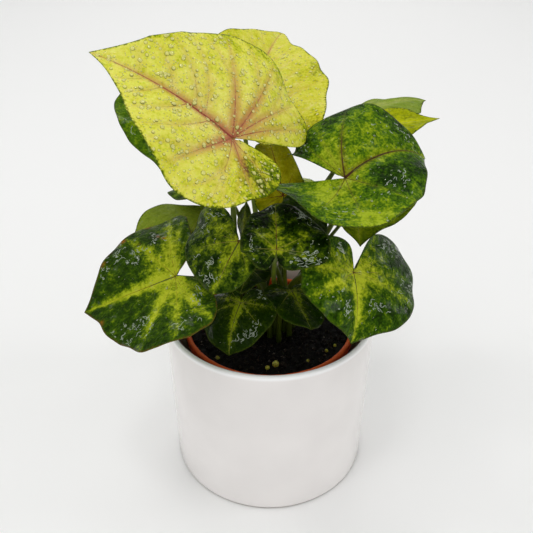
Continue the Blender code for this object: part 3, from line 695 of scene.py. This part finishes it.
def blade_part(leaf, look, routes):
    """The blade as two sheets joined round the margin. Its values by point, for the finish, are the distances
    to the veins and the margin, the tone by rays and patches, the bloom by the veins and scars, and which
    sheet it is."""
    columns = 2 * round(leaf["length"] + 10) + 1
    rows = round(0.55 * leaf["length"]) + 9
    share = np.linspace(-1, 1, columns)
    spoke = SINUS_END * np.sign(share) * (0.5 * np.abs(share) + 0.25 * (1 - np.cos(np.pi * share)))
    ring, spoke = np.meshgrid(np.linspace(0, 1, rows), spoke, indexing="ij")
    x, y, _ = flat_blade(leaf, ring, spoke)
    margin_x, margin_y, _ = flat_blade(leaf, 1.0, spoke)
    tone = look["centre"] * np.exp(-(ring / 0.3) ** 2)
    bloom = 0 * ring
    for (fan_ring, fan_spoke, _), pale, pink in zip(routes, look["rays"], look["blooms"]):
        away = away_from(x, y, *flat_blade(leaf, fan_ring, fan_spoke)[:2]) / (1.15 - ring)
        tone = np.maximum(tone, pale * np.exp(-(away / look["ray_mm"]) ** 2) * (1 - 0.6 * ring ** 2))
        bloom = np.maximum(bloom, pink * np.exp(-(away / look["bloom_mm"]) ** 2) * (1 - 0.7 * ring))
    for *place, amount in look["patches"]:
        tone = tone + amount * spot(leaf, x, y, *place)
    for place in look["scars"]:
        bloom = np.maximum(bloom, spot(leaf, x, y, *place))
    top, up = skin(leaf, look, routes, ring, spoke)
    low = top - up * (SHEET_GAP[0] + SHEET_GAP[1] * (1 - ring ** 4))[..., None]
    count = 1 + (rows - 1) * columns
    number = np.concatenate([np.zeros((1, columns), int),
                             1 + np.arange((rows - 1) * columns).reshape(rows - 1, columns)])
    quads = grid_faces(rows - 1, columns, start=1)
    fan = np.stack([number[0, 1:], number[1, :-1], number[1, 1:]], 1)
    path = np.concatenate([number[:, 0], number[-1, 1:], number[-2::-1, -1]])
    edge = np.stack([path[:-1], path[:-1] + count, path[1:] + count, path[1:]], 1)
    values = {"vein": near_vein(leaf, routes, ring, spoke), "rim": (1 - ring) * np.hypot(margin_x, margin_y),
              "tone": tone, "bloom": bloom, "under": 0 * ring}
    values = {key: np.tile(np.append(value[0, 0], value[1:]), 2) for key, value in values.items()}
    values["under"][count:] = 1
    points = np.concatenate([part for sheet in (top, low)
                             for part in (sheet[0, :1], sheet[1:].reshape(-1, 3))])
    return points, [quads, fan, quads[:, ::-1] + count, fan[:, ::-1] + count, edge], 0, values


def grown_leaf(name, values, look):
    """One whole leaf: blade, veins and stalk in one mesh, each with its finish."""
    leaf = dict(LEAF, phase=random.Random(name).uniform(0, 2 * math.pi)) | values
    look = LOOK | look
    routes = vein_routes(leaf, random.Random(name))
    sizes = np.full(len(routes), look["fine_lines"])
    sizes[:len(look["lines"])] = look["lines"]
    parts = [blade_part(leaf, look, routes), stalk_part(leaf),
             *vein_parts(leaf, routes, sizes * (leaf["length"] / 60) ** 0.5)]
    points, blocks = joined(parts)
    kinds = np.concatenate([np.full(len(block), part[2]) for part in parts for block in part[1]])
    measured = {key: np.concatenate([part[3].get(key, np.zeros(len(part[0]))) for part in parts])
                for key in ("vein", "rim", "tone", "bloom", "under", "share")}
    thing = new_mesh("grown_" + name[5:], points, blocks, **measured)
    for finish in leaf_finishes(name[5:], look):
        thing.data.materials.append(finish)
    thing.data.polygons.foreach_set("material_index", kinds.astype(np.int32))
    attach(thing, "root")
    return thing, (leaf, look, routes)


# Finish of the leaves: thin green tissue under a waxy skin, here wet from watering. Chlorophyll gives the
# green, its lack the lime and cream, and the film of water the sharp broken highlights.

# Values by vein are the midrib's, the four right fans' and the four left fans', and where a leaf has more of
# them, those of the forks and side veins. A patch or scar is given by its ring, spoke and size in mm, and a
# patch by its amount too.
LOOK = dict(patches=(), scars=(), centre=0.6, rays=(0.6, 0.5, 0.25, 0.4, 0.2, 0.5, 0.3, 0.4, 0.2), ray_mm=8.0,
            blooms=9 * (0,), bloom_mm=3.0, tint="B1724A", lines=(0.8, 0.7, 0.5, 0.4, 0.3, 0.6, 0.7, 0.4, 0.3),
            fine_lines=0.4, quilt=0.5, dents_mm=2.0, mottle_mm=5.0, mottle=0.5, speckle=0.4, level=-0.22,
            halo_mm=2.0, halo=0.06, margin="3E4A14", gloss=0.3, wet=0.6, vein="6A4A1C", vein_end="8C8A3A",
            under="5C7030", stalk="4D5A14", stalk_foot="2C3808", glow=0.06)


def leaf_finishes(name, look):
    """The three finishes of a leaf: blade, vein and stalk. The blade's colour runs along a ramp from its
    darkest to its lightest, by the sum of coarse and fine noise, closeness to a vein and the blade's own
    patches."""
    blade = new_material(name + "_blade", {"IOR": 1.42, "Specular IOR Level": 0.04, "Coat Roughness": 0.05,
                                           "Coat IOR": 1.5, "Subsurface Weight": look["glow"],
                                           "Subsurface Radius": (0.5, 1.0, 0.2),
                                           "Subsurface Scale": 1.5 * MM})
    place = add(blade, "TexCoord", out="Object")
    vein, rim, tone, bloom, under = (add(blade, "Attribute", out="Fac", attribute_name=key)
                                     for key in ("vein", "rim", "tone", "bloom", "under"))
    coarse = add(blade, "TexNoise", {"Vector": place, "Scale": 1 / (look["mottle_mm"] * MM), "Detail": 3.0,
                                     "Roughness": 0.62, "Distortion": 0.4})
    fine = add(blade, "TexNoise", {"Vector": place, "Scale": 1 / (1.3 * MM), "Detail": 2.0})
    near = add(blade, "MapRange", {"Value": vein, "From Max": look["halo_mm"], "To Min": look["halo"],
                                   "To Max": 0.0}, interpolation_type="SMOOTHSTEP")
    level = add(blade, "Math", {0: tone, 1: near}, operation="ADD")
    level = add(blade, "Math", {0: coarse, 1: look["mottle"] * 2, 2: level}, operation="MULTIPLY_ADD")
    level = add(blade, "Math", {0: fine, 1: look["speckle"] * 2, 2: level}, operation="MULTIPLY_ADD")
    middle = 0.5 - look["mottle"] - look["speckle"] + look["level"]
    level = add(blade, "Math", {0: level, 1: middle}, operation="ADD")
    upper = add(blade, "ValToRGB", {"Fac": level}, stops=look["ramp"])
    upper = add(blade, "Mix", {FACTOR: bloom, COLOUR_A: upper, COLOUR_B: linear(look["tint"])},
                out=MIXED, data_type="RGBA")
    colour = add(blade, "Mix", {FACTOR: under, COLOUR_A: upper, COLOUR_B: linear(look["under"])},
                 out=MIXED, data_type="RGBA")
    edge = add(blade, "Math", {0: fine, 1: 4.0, 2: rim}, operation="MULTIPLY_ADD")
    edge = add(blade, "MapRange", {"Value": edge, "From Min": 2.0, "From Max": 3.2, "To Min": 0.95,
                                   "To Max": 0.0})
    colour = add(blade, "Mix", {FACTOR: edge, COLOUR_A: colour, COLOUR_B: linear(look["margin"])},
                 out=MIXED, data_type="RGBA")
    film = add(blade, "TexNoise", {"Vector": place, "Scale": 1 / (7 * MM), "Detail": 2.0})
    dull = add(blade, "MapRange", {"Value": film, "From Min": 0.35, "From Max": 0.65,
                                   "To Min": look["gloss"] * 0.7, "To Max": look["gloss"] * 1.5})
    ripple = add(blade, "TexNoise", {"Vector": place, "Scale": 1 / (2.0 * MM), "Detail": 2.0,
                                     "Distortion": 1.0})
    relief = add(blade, "Bump", {"Height": coarse, "Strength": 0.8, "Distance": look["dents_mm"] * MM})
    relief = add(blade, "Bump", {"Height": ripple, "Strength": 0.3, "Distance": 0.2 * MM, "Normal": relief})
    pools = add(blade, "TexNoise", {"Vector": place, "Scale": 1 / (11 * MM), "Detail": 2.0})
    wet = add(blade, "MapRange", {"Value": pools, "From Min": 0.62, "From Max": 0.66, "To Min": 0.0,
                                  "To Max": look["wet"]})
    swirl = add(blade, "TexNoise", {"Vector": place, "Scale": 1 / (4.5 * MM), "Detail": 1.0,
                                    "Distortion": 1.5})
    waves = add(blade, "Bump", {"Height": swirl, "Strength": 1.0, "Distance": 1.3 * MM})
    link(blade, {"Base Color": colour, "Roughness": dull, "Normal": relief, "Coat Weight": wet,
                 "Coat Normal": waves})

    line = new_material(name + "_vein", {"IOR": 1.42, "Specular IOR Level": 0.14, "Roughness": 0.4})
    share = add(line, "Attribute", out="Fac", attribute_name="share")
    place = add(line, "TexCoord", out="Object")
    fleck = add(line, "TexNoise", {"Vector": place, "Scale": 1 / (1.6 * MM), "Detail": 2.0})
    run = add(line, "Math", {0: fleck, 1: 0.6, 2: share}, operation="MULTIPLY_ADD")
    colour = add(line, "ValToRGB", {"Fac": run}, stops=[(0.4, look["vein"]), (0.72, look["vein_end"]),
                                                        (1.0, look["ramp"][2][1])])
    link(line, {"Base Color": colour})

    stem = new_material(name + "_stalk", {"IOR": 1.42, "Specular IOR Level": 0.2})
    share = add(stem, "Attribute", out="Fac", attribute_name="share")
    place = add(stem, "TexCoord", out="Object")
    streak = add(stem, "Mapping", {"Vector": place, "Scale": (1, 1, 0.12)})
    streak = add(stem, "TexNoise", {"Vector": streak, "Scale": 1 / (1.2 * MM), "Detail": 3.0})
    run = add(stem, "Math", {0: streak, 1: 0.5, 2: share}, operation="MULTIPLY_ADD")
    colour = add(stem, "ValToRGB", {"Fac": run}, stops=[(0.2, look["stalk_foot"]), (0.85, look["stalk"])])
    dull = add(stem, "MapRange", {"Value": streak, "To Min": 0.25, "To Max": 0.5})
    link(stem, {"Base Color": colour, "Roughness": dull})
    return blade, line, stem


# Lime leaves: the two young yellow ones on top, almost without chlorophyll but for green flecks near their
# margins. The veins show rusty pink through the pale tissue, with a soft pink bloom beside them.
LIME = {
    "leaf_top_left": dict(
        at=(-20, -38, 252), heading=177, pitch=43, roll=-19, length=83, halves=(46, 63), lobes=(37, 54),
        point=0.42, swell=-0.1, notch=20, skew=27, folds=(7, 28), droops=(38, 34), arch=27,
        lobe_arches=(-12, 33), twist=-5, foot=(-18, 1), stalk=2.2, arrive=0.85, lean=(-0.1, -0.1),
        ruffle=1.0),
    "leaf_top_back": dict(
        at=(-16.2, 31, 236.5), heading=74, pitch=40, length=96, halves=(53, 51), lobes=(32, 24), point=0.24,
        swell=-0.1, notch=9, gap=9, skew=5, folds=(22, 14), droops=(11, 11), arch=34, lobe_arches=(10, 0),
        twist=15, foot=(-3, 2), stalk=2.2, ragged=0.09),
}
LIME_LOOK = dict(mottle=0.42, speckle=0.3, centre=0.1, rays=29 * (0,), halo=0.08, halo_mm=3.0, wet=0.25,
                 margin="46560A", under="A9A848", glow=0.2, stalk="6E7E30", quilt=0.8, dents_mm=0.9)
LIME_LOOKS = {
    "leaf_top_left": dict(
        ramp=[(0.0, "34460A"), (0.18, "6E8208"), (0.34, "BABE22"), (0.52, "D8D64C"), (0.74, "E4E16C"),
              (0.95, "F0EE96")],
        patches=((0.85, 0.88, 17, -0.42), (0.95, 0.74, 12, -0.25), (0.5, 0.74, 6, -0.25),
                 (0.98, -0.86, 9, -0.3), (1.0, -0.6, 9, -0.3), (1.0, -0.35, 9, -0.3),
                 (1.0, -0.15, 8, -0.28), (1.0, -0.48, 8, -0.28), (0.2, 0.0, 14, 0.1), (1.0, 0.35, 8, -0.18),
                 (1.0, 0.55, 8, -0.18)),
        level=0.08, lines=(1.2, 0.9, 1.0, 0.9, 0.7, 1.0, 0.5, 0.8, 0.7), fine_lines=0.9,
        blooms=(1.0, 0.85, 0.95, 0.8, 0.7, 1.0, 0.35, 0.8, 0.2, *20 * (0.4,)), bloom_mm=4.4, tint="B46250",
        vein="8E4434", vein_end="B47C50", stalk_foot="4A5A18"),
    "leaf_top_back": dict(
        ramp=[(0.0, "5C6602"), (0.16, "989A10"), (0.32, "C0BE26"), (0.5, "D0CC44"), (0.9, "E4DE84")],
        patches=((0.95, -0.3, 12, -0.3), (0.95, -0.6, 12, -0.3), (0.98, 0.2, 8, -0.15)), mottle_mm=6.0,
        level=0.0, lines=(1.3, 0.8, 0.8, 0.8, 0.6, 0.8, 0.8, 0.8, 0.6), fine_lines=0.7,
        blooms=(1.0, *8 * (0.4,), *20 * (0.25,)), bloom_mm=3.2, tint="BC7458", vein="9A5038",
        vein_end="C4A850"),
}
# Each leaf's values, looks and vein routes by its name, for the water on it
grown = {}
for name, values in LIME.items():
    piece, grown[name] = grown_leaf(name, values, LIME_LOOK | LIME_LOOKS[name])
    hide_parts(name)


# Mottled leaves: full-grown green ones, dark between the veins and lime beside them, with thin brown veins.
# They hang lower, where more water ran onto them, so they shine.
MOTTLED = {
    "leaf_right_large": dict(
        at=(41, -29, 226), heading=27, pitch=35, roll=8, length=65, halves=(47, 41), lobes=(30, 45),
        point=0.27, swell=-0.15, notch=60, gap=5, skew=-50, folds=(38, -5), droops=(62, 4), arch=74,
        lobe_arches=(-54, -70), twist=18, foot=(15, 2), stalk=2.1, ruffle=1.0),
    "leaf_low_left": dict(
        at=(-55, -40, 169), heading=185, pitch=-21, roll=-25, length=60, halves=(53, 56), lobes=(24, 19),
        point=0.22, swell=0.07, notch=10, gap=13, folds=(18, 11), droops=(0, 48), arch=3,
        lobe_arches=(36, 0), twist=-7, foot=(-14, 8), stalk=2.0, arrive=1.0, lean=(-0.5, 0), ragged=0.05),
    "leaf_centre_left": dict(
        at=(-17, -52, 199), heading=-127, pitch=-37, roll=-3, length=32, halves=(18, 39), lobes=(8, 22),
        point=0.06, swell=0.2, notch=16, gap=14, skew=14, folds=(2, 8), droops=(24, 45), arch=17,
        lobe_arches=(10, -12), foot=(10, -3)),
    "leaf_centre": dict(
        at=(3, -66, 202), heading=90, pitch=20, roll=5, length=36, halves=(19, 29), lobes=(17, 15),
        point=0.06, swell=-0.08, notch=20, gap=6, skew=-4, folds=(13, 8), droops=(21, 22), arch=11,
        lobe_arches=(5, 14), twist=-6, foot=(4, -7), arrive=0.1, lean=(0.0, 0.35)),
    "leaf_low_right": dict(
        at=(46.7, -48, 176.6), heading=-73, pitch=-42, roll=-41, length=41, halves=(59, 40), lobes=(40, 22),
        point=0.22, swell=0.14, notch=9, skew=-18, folds=(24, 9), droops=(30, 56), arch=36,
        lobe_arches=(-12, -16), twist=8, foot=(9, 4), stalk=2.0),
    "leaf_back_left": dict(
        at=(-35, 60, 186), heading=140, pitch=-12, halves=(34, 34), lobes=(26, 26), droops=(24, 24),
        arch=30, foot=(-2, 12)),
    "leaf_back_right": dict(
        at=(32, 68, 178), heading=50, pitch=-16, halves=(34, 34), lobes=(26, 26), droops=(24, 24), arch=30,
        foot=(5, 11)),
}
MOTTLED_RAMP = [(0.0, "1E3001"), (0.25, "3A5204"), (0.45, "567008"), (0.62, "7C9010"), (0.8, "9FB111"),
                (1.0, "C2C81C")]
MOTTLED_LOOKS = {
    "leaf_right_large": dict(
        ramp=[(0.0, "142A02"), (0.2, "2C4A04"), (0.42, "4C6E08"), (0.62, "7A900E"), (0.85, "9CAE24")],
        blooms=(0.7, 0.25, 0.2, 0.2, 0.0, 0.6, 0.25, 0.2, 0.0), bloom_mm=2.2, tint="5E3E16",
        patches=((0.6, 0.3, 18, 0.12), (0.8, 0.72, 13, -0.35), (0.95, 0.4, 10, -0.4), (0.95, 0.15, 9, -0.3),
                 (0.5, -0.25, 11, -0.4), (0.85, -0.12, 11, -0.3), (0.4, -0.78, 10, 0.35),
                 (0.92, -0.5, 12, 0.35), (0.85, -0.85, 9, -0.25)),
        mottle=0.66, speckle=0.42, level=-0.13, centre=0.3, wet=0.2,
        rays=(0.3, 0.1, 0.2, 0.1, 0.1, 0.1, 0.35, 0.3, 0.2), vein="3E220C", vein_end="5A4A18",
        lines=(1.3, 0.5, 0.4, 0.5, 0.2, 1.1, 0.25, 0.4, 0.2), fine_lines=0.3),
    "leaf_low_left": dict(
        quilt=0.9, mottle=0.66, level=-0.25, margin="5A4A18", tint="A0601C",
        scars=((0.55, -0.5, 1.2), (0.62, -0.46, 0.8), (0.97, -0.3, 1.5), (0.98, -0.43, 1.3),
               (0.97, -0.17, 1.2), (0.98, 0.1, 1.2), (0.72, -0.33, 0.7)),
        ramp=[(0.0, "182C00"), (0.25, "274001"), (0.45, "3C5604"), (0.65, "6E820C"), (0.85, "97A51A"),
              (1.0, "AEB82A")],
        rays=(0.85, 0.6, 0.75, 0.5, 0.3, 0.75, 0.65, 0.75, 0.35), ray_mm=7.5, centre=0.8, vein="6A5A09",
        vein_end="A0A010"),
    "leaf_centre_left": dict(
        level=-0.27, mottle=0.85, quilt=0.9,
        ramp=[(0.0, "0E2000"), (0.25, "1E3401"), (0.45, "42560A"), (0.65, "66780C"), (0.9, "9CAA1E")],
        vein="5A3A07"),
    "leaf_centre": dict(
        level=-0.36, mottle=0.95, quilt=0.9,
        ramp=[(0.0, "071400"), (0.25, "182C01"), (0.45, "364A02"), (0.65, "5A6C0A"), (0.9, "949E18")],
        vein="5A3A07"),
    "leaf_low_right": dict(
        quilt=0.9, mottle=0.8, level=-0.24, ray_mm=8.5, centre=0.8,
        rays=(0.85, 0.6, 0.5, 0.4, 0.3, 0.6, 0.5, 0.35, 0.3),
        patches=((0.75, 0.5, 22, -0.2), (0.8, 0.75, 14, -0.2)),
        ramp=[(0.0, "182E00"), (0.25, "2C4A02"), (0.45, "466206"), (0.65, "7A8E10"), (0.85, "A2AE20"),
              (1.0, "B8C22E")],
        vein="5A3A07"),
    "leaf_back_left": dict(ramp=MOTTLED_RAMP, vein="6A4A09"),
    "leaf_back_right": dict(ramp=MOTTLED_RAMP, vein="6A4A09"),
}
for name, values in MOTTLED.items():
    piece, grown[name] = grown_leaf(name, values, MOTTLED_LOOKS[name])
    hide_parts(name)


# Dark leaves: the older ones in the shade near the mix, deep green nearly all over. Their skin is the same
# waxy one, and only narrow pale rays are left in them. The two that lie under the others, centre_dark and
# low_shade, have ramps that stop at a dark green: partly their own colour, partly painted shade.
DARK = {
    "leaf_left_behind": dict(
        at=(-64.4, 43.0, 242.2), heading=-83, pitch=-35, roll=-9, length=55, halves=(29, 33),
        lobes=(22, 23), point=0.4, swell=0.07, folds=(8, 11), droops=(20, 30), arch=12, twist=-14,
        foot=(-1, -4), arrive=-0.65, lean=(0, -0.05)),
    "leaf_soil_left": dict(
        at=(-18, -32, 145), heading=-118, pitch=-34, roll=14, length=34, halves=(26, 31), lobes=(14, 14),
        point=0.16, swell=-0.08, gap=6, skew=8, folds=(6, 4), droops=(24, 27), arch=40, lobe_arches=(3, 13),
        twist=-15, foot=(-6, -7), stalk=1.4),
    "leaf_soil_right": dict(
        at=(13, -34, 155), heading=-70, pitch=-12, roll=-8, length=32, halves=(20, 18), lobes=(8, 7),
        point=0.08, swell=0.11, folds=(4, 8), droops=(22, 20), arch=5, twist=-2, foot=(6, -13), stalk=1.4),
    "leaf_centre_dark": dict(
        at=(18, -40, 196), heading=-3, pitch=-16, roll=11, length=20, halves=(32, 20), lobes=(18, 18),
        point=0.12, swell=0.12, folds=(9, 9), droops=(12, 17), arch=34, twist=-4, foot=(13, -8), stalk=1.5,
        arrive=0.35),
    "leaf_low_shade": dict(
        at=(-11.5, -34, 170), heading=-107, pitch=-5, roll=1, length=20, halves=(12, 18), lobes=(9, 9),
        point=0.1, swell=0.12, folds=(7, 7), droops=(23, 21), arch=12, twist=2, foot=(0, -11), stalk=1.4),
}
DARK_LOOKS = {
    "leaf_left_behind": dict(
        mottle=0.8, ramp=[(0.0, "2A4602"), (0.35, "4A6A08"), (0.7, "7A920E"), (1.0, "9AA818")],
        vein="5A6A0B"),
    "leaf_soil_left": dict(
        rays=(0.7, 0.4, 0.5, 0.3, 0.2, 0.4, 0.5, 0.3, 0.2), ray_mm=5.0, level=-0.15,
        ramp=[(0.0, "0E1E00"), (0.4, "1A2E02"), (0.7, "354804"), (1.0, "8A9A14")], vein="4A4A08"),
    "leaf_soil_right": dict(
        rays=(0.5, 0.3, 0.4, 0.3, 0.2, 0.3, 0.4, 0.3, 0.2), ray_mm=5.0, level=-0.15,
        ramp=[(0.0, "102403"), (0.4, "1C3202"), (0.7, "344804"), (1.0, "8A9A14")], vein="4A4A08"),
    # Painted shade: these two ramps stop at a dark green, partly the leaves' own colour, partly the shade
    # they lie in.
    "leaf_centre_dark": dict(
        ramp=[(0.0, "0E1C00"), (0.4, "1A2C01"), (0.7, "2C4003"), (1.0, "4A5A08")], vein="4A4A08"),
    "leaf_low_shade": dict(
        ramp=[(0.0, "0E1C00"), (0.4, "182A01"), (0.7, "283C03"), (1.0, "4A5A08")], vein="4A4A08"),
}
for name, values in DARK.items():
    piece, grown[name] = grown_leaf(name, values, DARK_LOOKS[name])
    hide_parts(name)


# Olive leaves: plain ones in one dull yellowish green, with little mottling and a duller skin. They stand
# behind and between the others, in their shade.
OLIVE = {
    "leaf_right_lime": dict(
        at=(56, 25, 236), heading=6, pitch=3, roll=2, length=49, halves=(24, 24), point=0.28, swell=0.12,
        folds=(12, 9), droops=(17, 24), arch=-5, twist=5, foot=(3, 5), stalk=1.7),
    "leaf_right_far": dict(
        at=(61, 60, 234), heading=24, pitch=17, roll=-2, length=51, halves=(22, 31), point=0.23, swell=0.12,
        folds=(4, 6), droops=(38, 23), arch=31, twist=9, foot=(-6, 7), stalk=1.7, arrive=0.6),
    "leaf_left_pale": dict(
        at=(-52, 10, 171), heading=168, pitch=12, roll=-4, length=40, halves=(30, 32), lobes=(25, 25),
        point=0.05, swell=0.12, folds=(8, 12), droops=(20, 26), arch=36, twist=-15, foot=(-9, 2),
        stalk=1.7),
    "leaf_olive": dict(
        at=(8, 4, 200), heading=103, pitch=39, roll=-6, length=51, halves=(18, 15), lobes=(12, 12),
        point=0.06, swell=0.12, folds=(11, 10), droops=(19, 19), arch=32, foot=(5, 0), stalk=1.6),
    "leaf_under_right": dict(
        at=(54, 20, 189), heading=-86, pitch=-20, length=34, halves=(40, 18), lobes=(16, 12), point=0.34,
        swell=0.13, folds=(13, 12), droops=(8, 11), arch=26, foot=(11, 10), stalk=1.6, arrive=0.05),
    "leaf_young": dict(
        at=(-16, -20, 183), heading=101, pitch=68, roll=57, length=26, halves=(12, 8), lobes=(6, 6),
        point=0.14, swell=0.12, gap=9, folds=(22, 21), droops=(22, 32), arch=-21, twist=-5, foot=(-9, -3),
        stalk=1.2, arrive=0.6),
}
OLIVE_LOOKS = {
    "leaf_right_lime": dict(
        ramp=[(0.0, "6A7602"), (0.4, "9AA202"), (0.7, "B4B808"), (1.0, "C8CA20")], gloss=0.45, wet=0.2,
        vein="A0A030"),
    "leaf_right_far": dict(
        ramp=[(0.0, "647C28"), (0.4, "7C9030"), (0.7, "8C9C40"), (1.0, "A0AC50")], gloss=0.5, wet=0.1,
        vein="8A9A40"),
    "leaf_left_pale": dict(
        ramp=[(0.0, "56681A"), (0.4, "6E8020"), (0.7, "7E8E2A"), (1.0, "98A240")], gloss=0.35,
        vein="7A8A28", mottle=0.25, level=0.0, centre=0.1, rays=9 * (0,)),
    "leaf_olive": dict(
        ramp=[(0.0, "5A5C03"), (0.4, "8C8602"), (0.7, "A09A08"), (1.0, "B8AE20")], gloss=0.45, wet=0.1,
        patches=((0.6, -0.6, 14, -0.35),), level=-0.05, vein="5A2410", vein_end="7A4A14", glow=0.3),
    "leaf_under_right": dict(
        ramp=[(0.0, "344202"), (0.4, "566A06"), (0.7, "76860C"), (1.0, "98A020")], gloss=0.45, wet=0.2,
        level=-0.05, vein="6A6A20"),
    "leaf_young": dict(
        ramp=[(0.0, "1E3003"), (0.4, "3A4A0A"), (0.7, "6A7A20"), (1.0, "A0A83A")], vein="8A8A30"),
}
for name, values in OLIVE.items():
    piece, grown[name] = grown_leaf(name, values, OLIVE_LOOKS[name])
    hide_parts(name)


# Water drops: what a mist sprayer left, clear flattened beads that sit on the waxy skin. Each is a closed
# low dome, its height a share of its radius by the cosine of the angle from its top.
DROP_RINGS = 0.97
DROP_SPOKES = 0.95
SMALLEST_DROP = 0.34
DROP_HEIGHT = 0.62
DROP_SINK = 0.06
DROP_SIDES = 9
DROP_BANDS = 4
TRIES = 12


def drops_on(name, count, largest):
    """Drops scattered evenly over a blade by a seeded draw, many small and few large. A place is kept by the
    chance that its share of the blade's area gives."""
    draw = np.random.default_rng(sum(map(ord, name)))
    ring = DROP_RINGS * np.sqrt(draw.random(TRIES * count))
    spoke = draw.uniform(-DROP_SPOKES, DROP_SPOKES, TRIES * count)
    area = np.linalg.norm(across_steps(grown[name][0], ring, spoke), axis=-1) / ring
    kept = np.flatnonzero(draw.random(TRIES * count) < area / area.max())[:count]
    count = len(kept)
    size = (SMALLEST_DROP + (largest - SMALLEST_DROP) * draw.random(count) ** 5)[:, None, None]
    centre, up = (values[:, 0] for values in skin(*grown[name], ring[kept, None], spoke[kept, None]))
    level = unit(np.cross(up, draw.normal(size=(count, 3))))
    dome = arc((0, 0), 1, 0, 90, DROP_BANDS) * (1, DROP_HEIGHT) - (0, DROP_SINK)
    points, faces = turned(np.concatenate([[(0, -DROP_SINK)], dome]), DROP_SIDES)
    places = centre[:, None] + size * (points @ np.stack([level, np.cross(up, level), up], 1))
    crown = np.tile(np.clip((points[:, 2] + DROP_SINK) / DROP_HEIGHT, 0, 1), count)
    thing = new_mesh("drops_" + name[5:], places.reshape(-1, 3), copied(faces, len(points), count),
                     crown=crown)
    thing.data.materials.append(bright_water if "top" in name else clear_water)
    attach(thing, "root")


def water(name, foot, top, share):
    """Water seen from above: it lets most of the light through and glints. Its colour by height is painted
    light and shade: the foot colour is painted shade on the skin round its foot, the top colour a painted
    bright spot of gathered light toward its top."""
    finish = new_material(name, {"IOR": 1.33, "Roughness": 0.03, "Specular IOR Level": 0.8, "Alpha": share})
    crown = add(finish, "Attribute", out="Fac", attribute_name="crown")
    place = add(finish, "TexCoord", out="Object")
    cloud = add(finish, "TexNoise", {"Vector": place, "Scale": 1 / (1.5 * MM), "Detail": 1.0})
    level = add(finish, "Math", {0: cloud, 1: 0.5, 2: crown}, operation="MULTIPLY_ADD")
    colour = add(finish, "ValToRGB", {"Fac": level}, stops=[(0.5, foot), (1.0, top)])
    link(finish, {"Base Color": colour})
    return finish


# Painted light and shade on the drops: each pair is the colour of the shade round a drop's foot and of its
# bright spot.
bright_water = water("water_on_lime", "8E8C14", "F8F59C", 0.55)
clear_water = water("water_on_green", "2C3C08", "B4C098", 0.4)
# How many drops a leaf has, and the radius of the largest
DROPS = {
    "leaf_top_left": (1500, 1.4), "leaf_top_back": (640, 1.3), "leaf_right_large": (110, 0.9),
    "leaf_low_left": (60, 0.9), "leaf_low_right": (60, 0.9), "leaf_centre_left": (36, 0.8),
    "leaf_centre": (30, 0.8), "leaf_left_pale": (16, 0.7), "leaf_right_lime": (16, 0.7),
    "leaf_left_behind": (20, 0.7), "leaf_soil_right": (16, 0.8), "leaf_soil_left": (14, 0.8),
    "leaf_back_left": (40, 0.9), "leaf_back_right": (40, 0.9),
}
for name, (count, largest) in DROPS.items():
    drops_on(name, count, largest)


# Edges of the water film: where the film that ran down the lower leaves ends or parts, it stands up in a
# narrow ridge that wanders over the blade and catches the lamps. Each is a thin tube on the skin, coloured a
# pale whitish green as a painted highlight.
RIDGE_STEPS = 14
RIDGE_SIDES = 6
RIDGE_HEIGHT = 0.7
RIDGE_LENGTHS = (1.5, 8.0)
RIDGE_WIDTHS = (0.12, 0.3)
RIDGE_CURL = 3.5
RIDGE_SWING = 1.4
SWING_ANGLES = (4, 9)
CLUSTER_RINGS = (0.62, 0.92)
CLUSTER_SPOKES = (-0.85, 0.85)


def film_edges(name, clusters, count):
    """Ridges on a blade in clusters near its margin. Each goes on in small steps and turns as it goes."""
    draw = np.random.default_rng(sum(map(ord, name)) + 1)
    leaf = grown[name][0]
    step = np.linspace(0, 1, RIDGE_STEPS)
    home = draw.integers(0, clusters, count)
    first_ring = draw.uniform(*CLUSTER_RINGS, clusters)[home] + draw.normal(0, 0.07, count)
    first_spoke = draw.uniform(*CLUSTER_SPOKES, clusters)[home] + draw.normal(0, 0.05, count)
    first_ring = np.clip(first_ring, 0.3, 0.95)[:, None]
    angle = draw.uniform(*SWING_ANGLES, (count, 1)) * step + draw.uniform(0, 6, (count, 1))
    swing = RIDGE_SWING * np.sin(angle)
    heading = draw.uniform(0, 2 * np.pi, (count, 1)) + swing
    heading = heading + draw.uniform(-RIDGE_CURL, RIDGE_CURL, (count, 1)) * step
    run = draw.uniform(*RIDGE_LENGTHS, (count, 1)) / (RIDGE_STEPS - 1)
    ring = np.clip(first_ring + np.cumsum(run * np.cos(heading), 1) / leaf["length"], 0.05, 0.975)
    round_blade = math.pi * np.mean(leaf["halves"]) * first_ring
    spoke = np.clip(first_spoke[:, None] + np.cumsum(run * np.sin(heading), 1) / round_blade, -0.96, 0.96)
    spines, up = skin(*grown[name], ring, spoke)
    across = unit(np.cross(unit(np.gradient(spines, axis=1)), up))
    widths = draw.uniform(*RIDGE_WIDTHS, (count, 1)) * np.sqrt(np.sin(np.pi * (0.03 + 0.94 * step)))
    ridges = zip(spines, across, up, widths)
    points, faces = joined([tube(*lines, RIDGE_SIDES, RIDGE_HEIGHT) for lines in ridges])
    thing = new_mesh("film_edges_" + name[5:], points, faces)
    thing.data.materials.append(painted_glint_water)
    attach(thing, "root")


# Painted highlight: the clear water is given a pale whitish colour, so the thin ridges show as bright glints.
painted_glint_water = new_material("water_at_film_edge_painted_glint", {"Base Color": linear("CAD6C2"), "IOR": 1.33,
                                                 "Roughness": 0.06, "Specular IOR Level": 1.0,
                                                 "Alpha": 0.52})
# How many clusters and ridges a leaf has
FILM_EDGES = {
    "leaf_low_left": (9, 110), "leaf_low_right": (8, 90), "leaf_centre_left": (5, 36), "leaf_centre": (7, 60),
    "leaf_right_large": (6, 40), "leaf_soil_left": (5, 50), "leaf_soil_right": (3, 18),
    "leaf_left_behind": (2, 10), "leaf_back_left": (4, 24), "leaf_back_right": (4, 24),
}
for name, (clusters, count) in FILM_EDGES.items():
    film_edges(name, clusters, count)
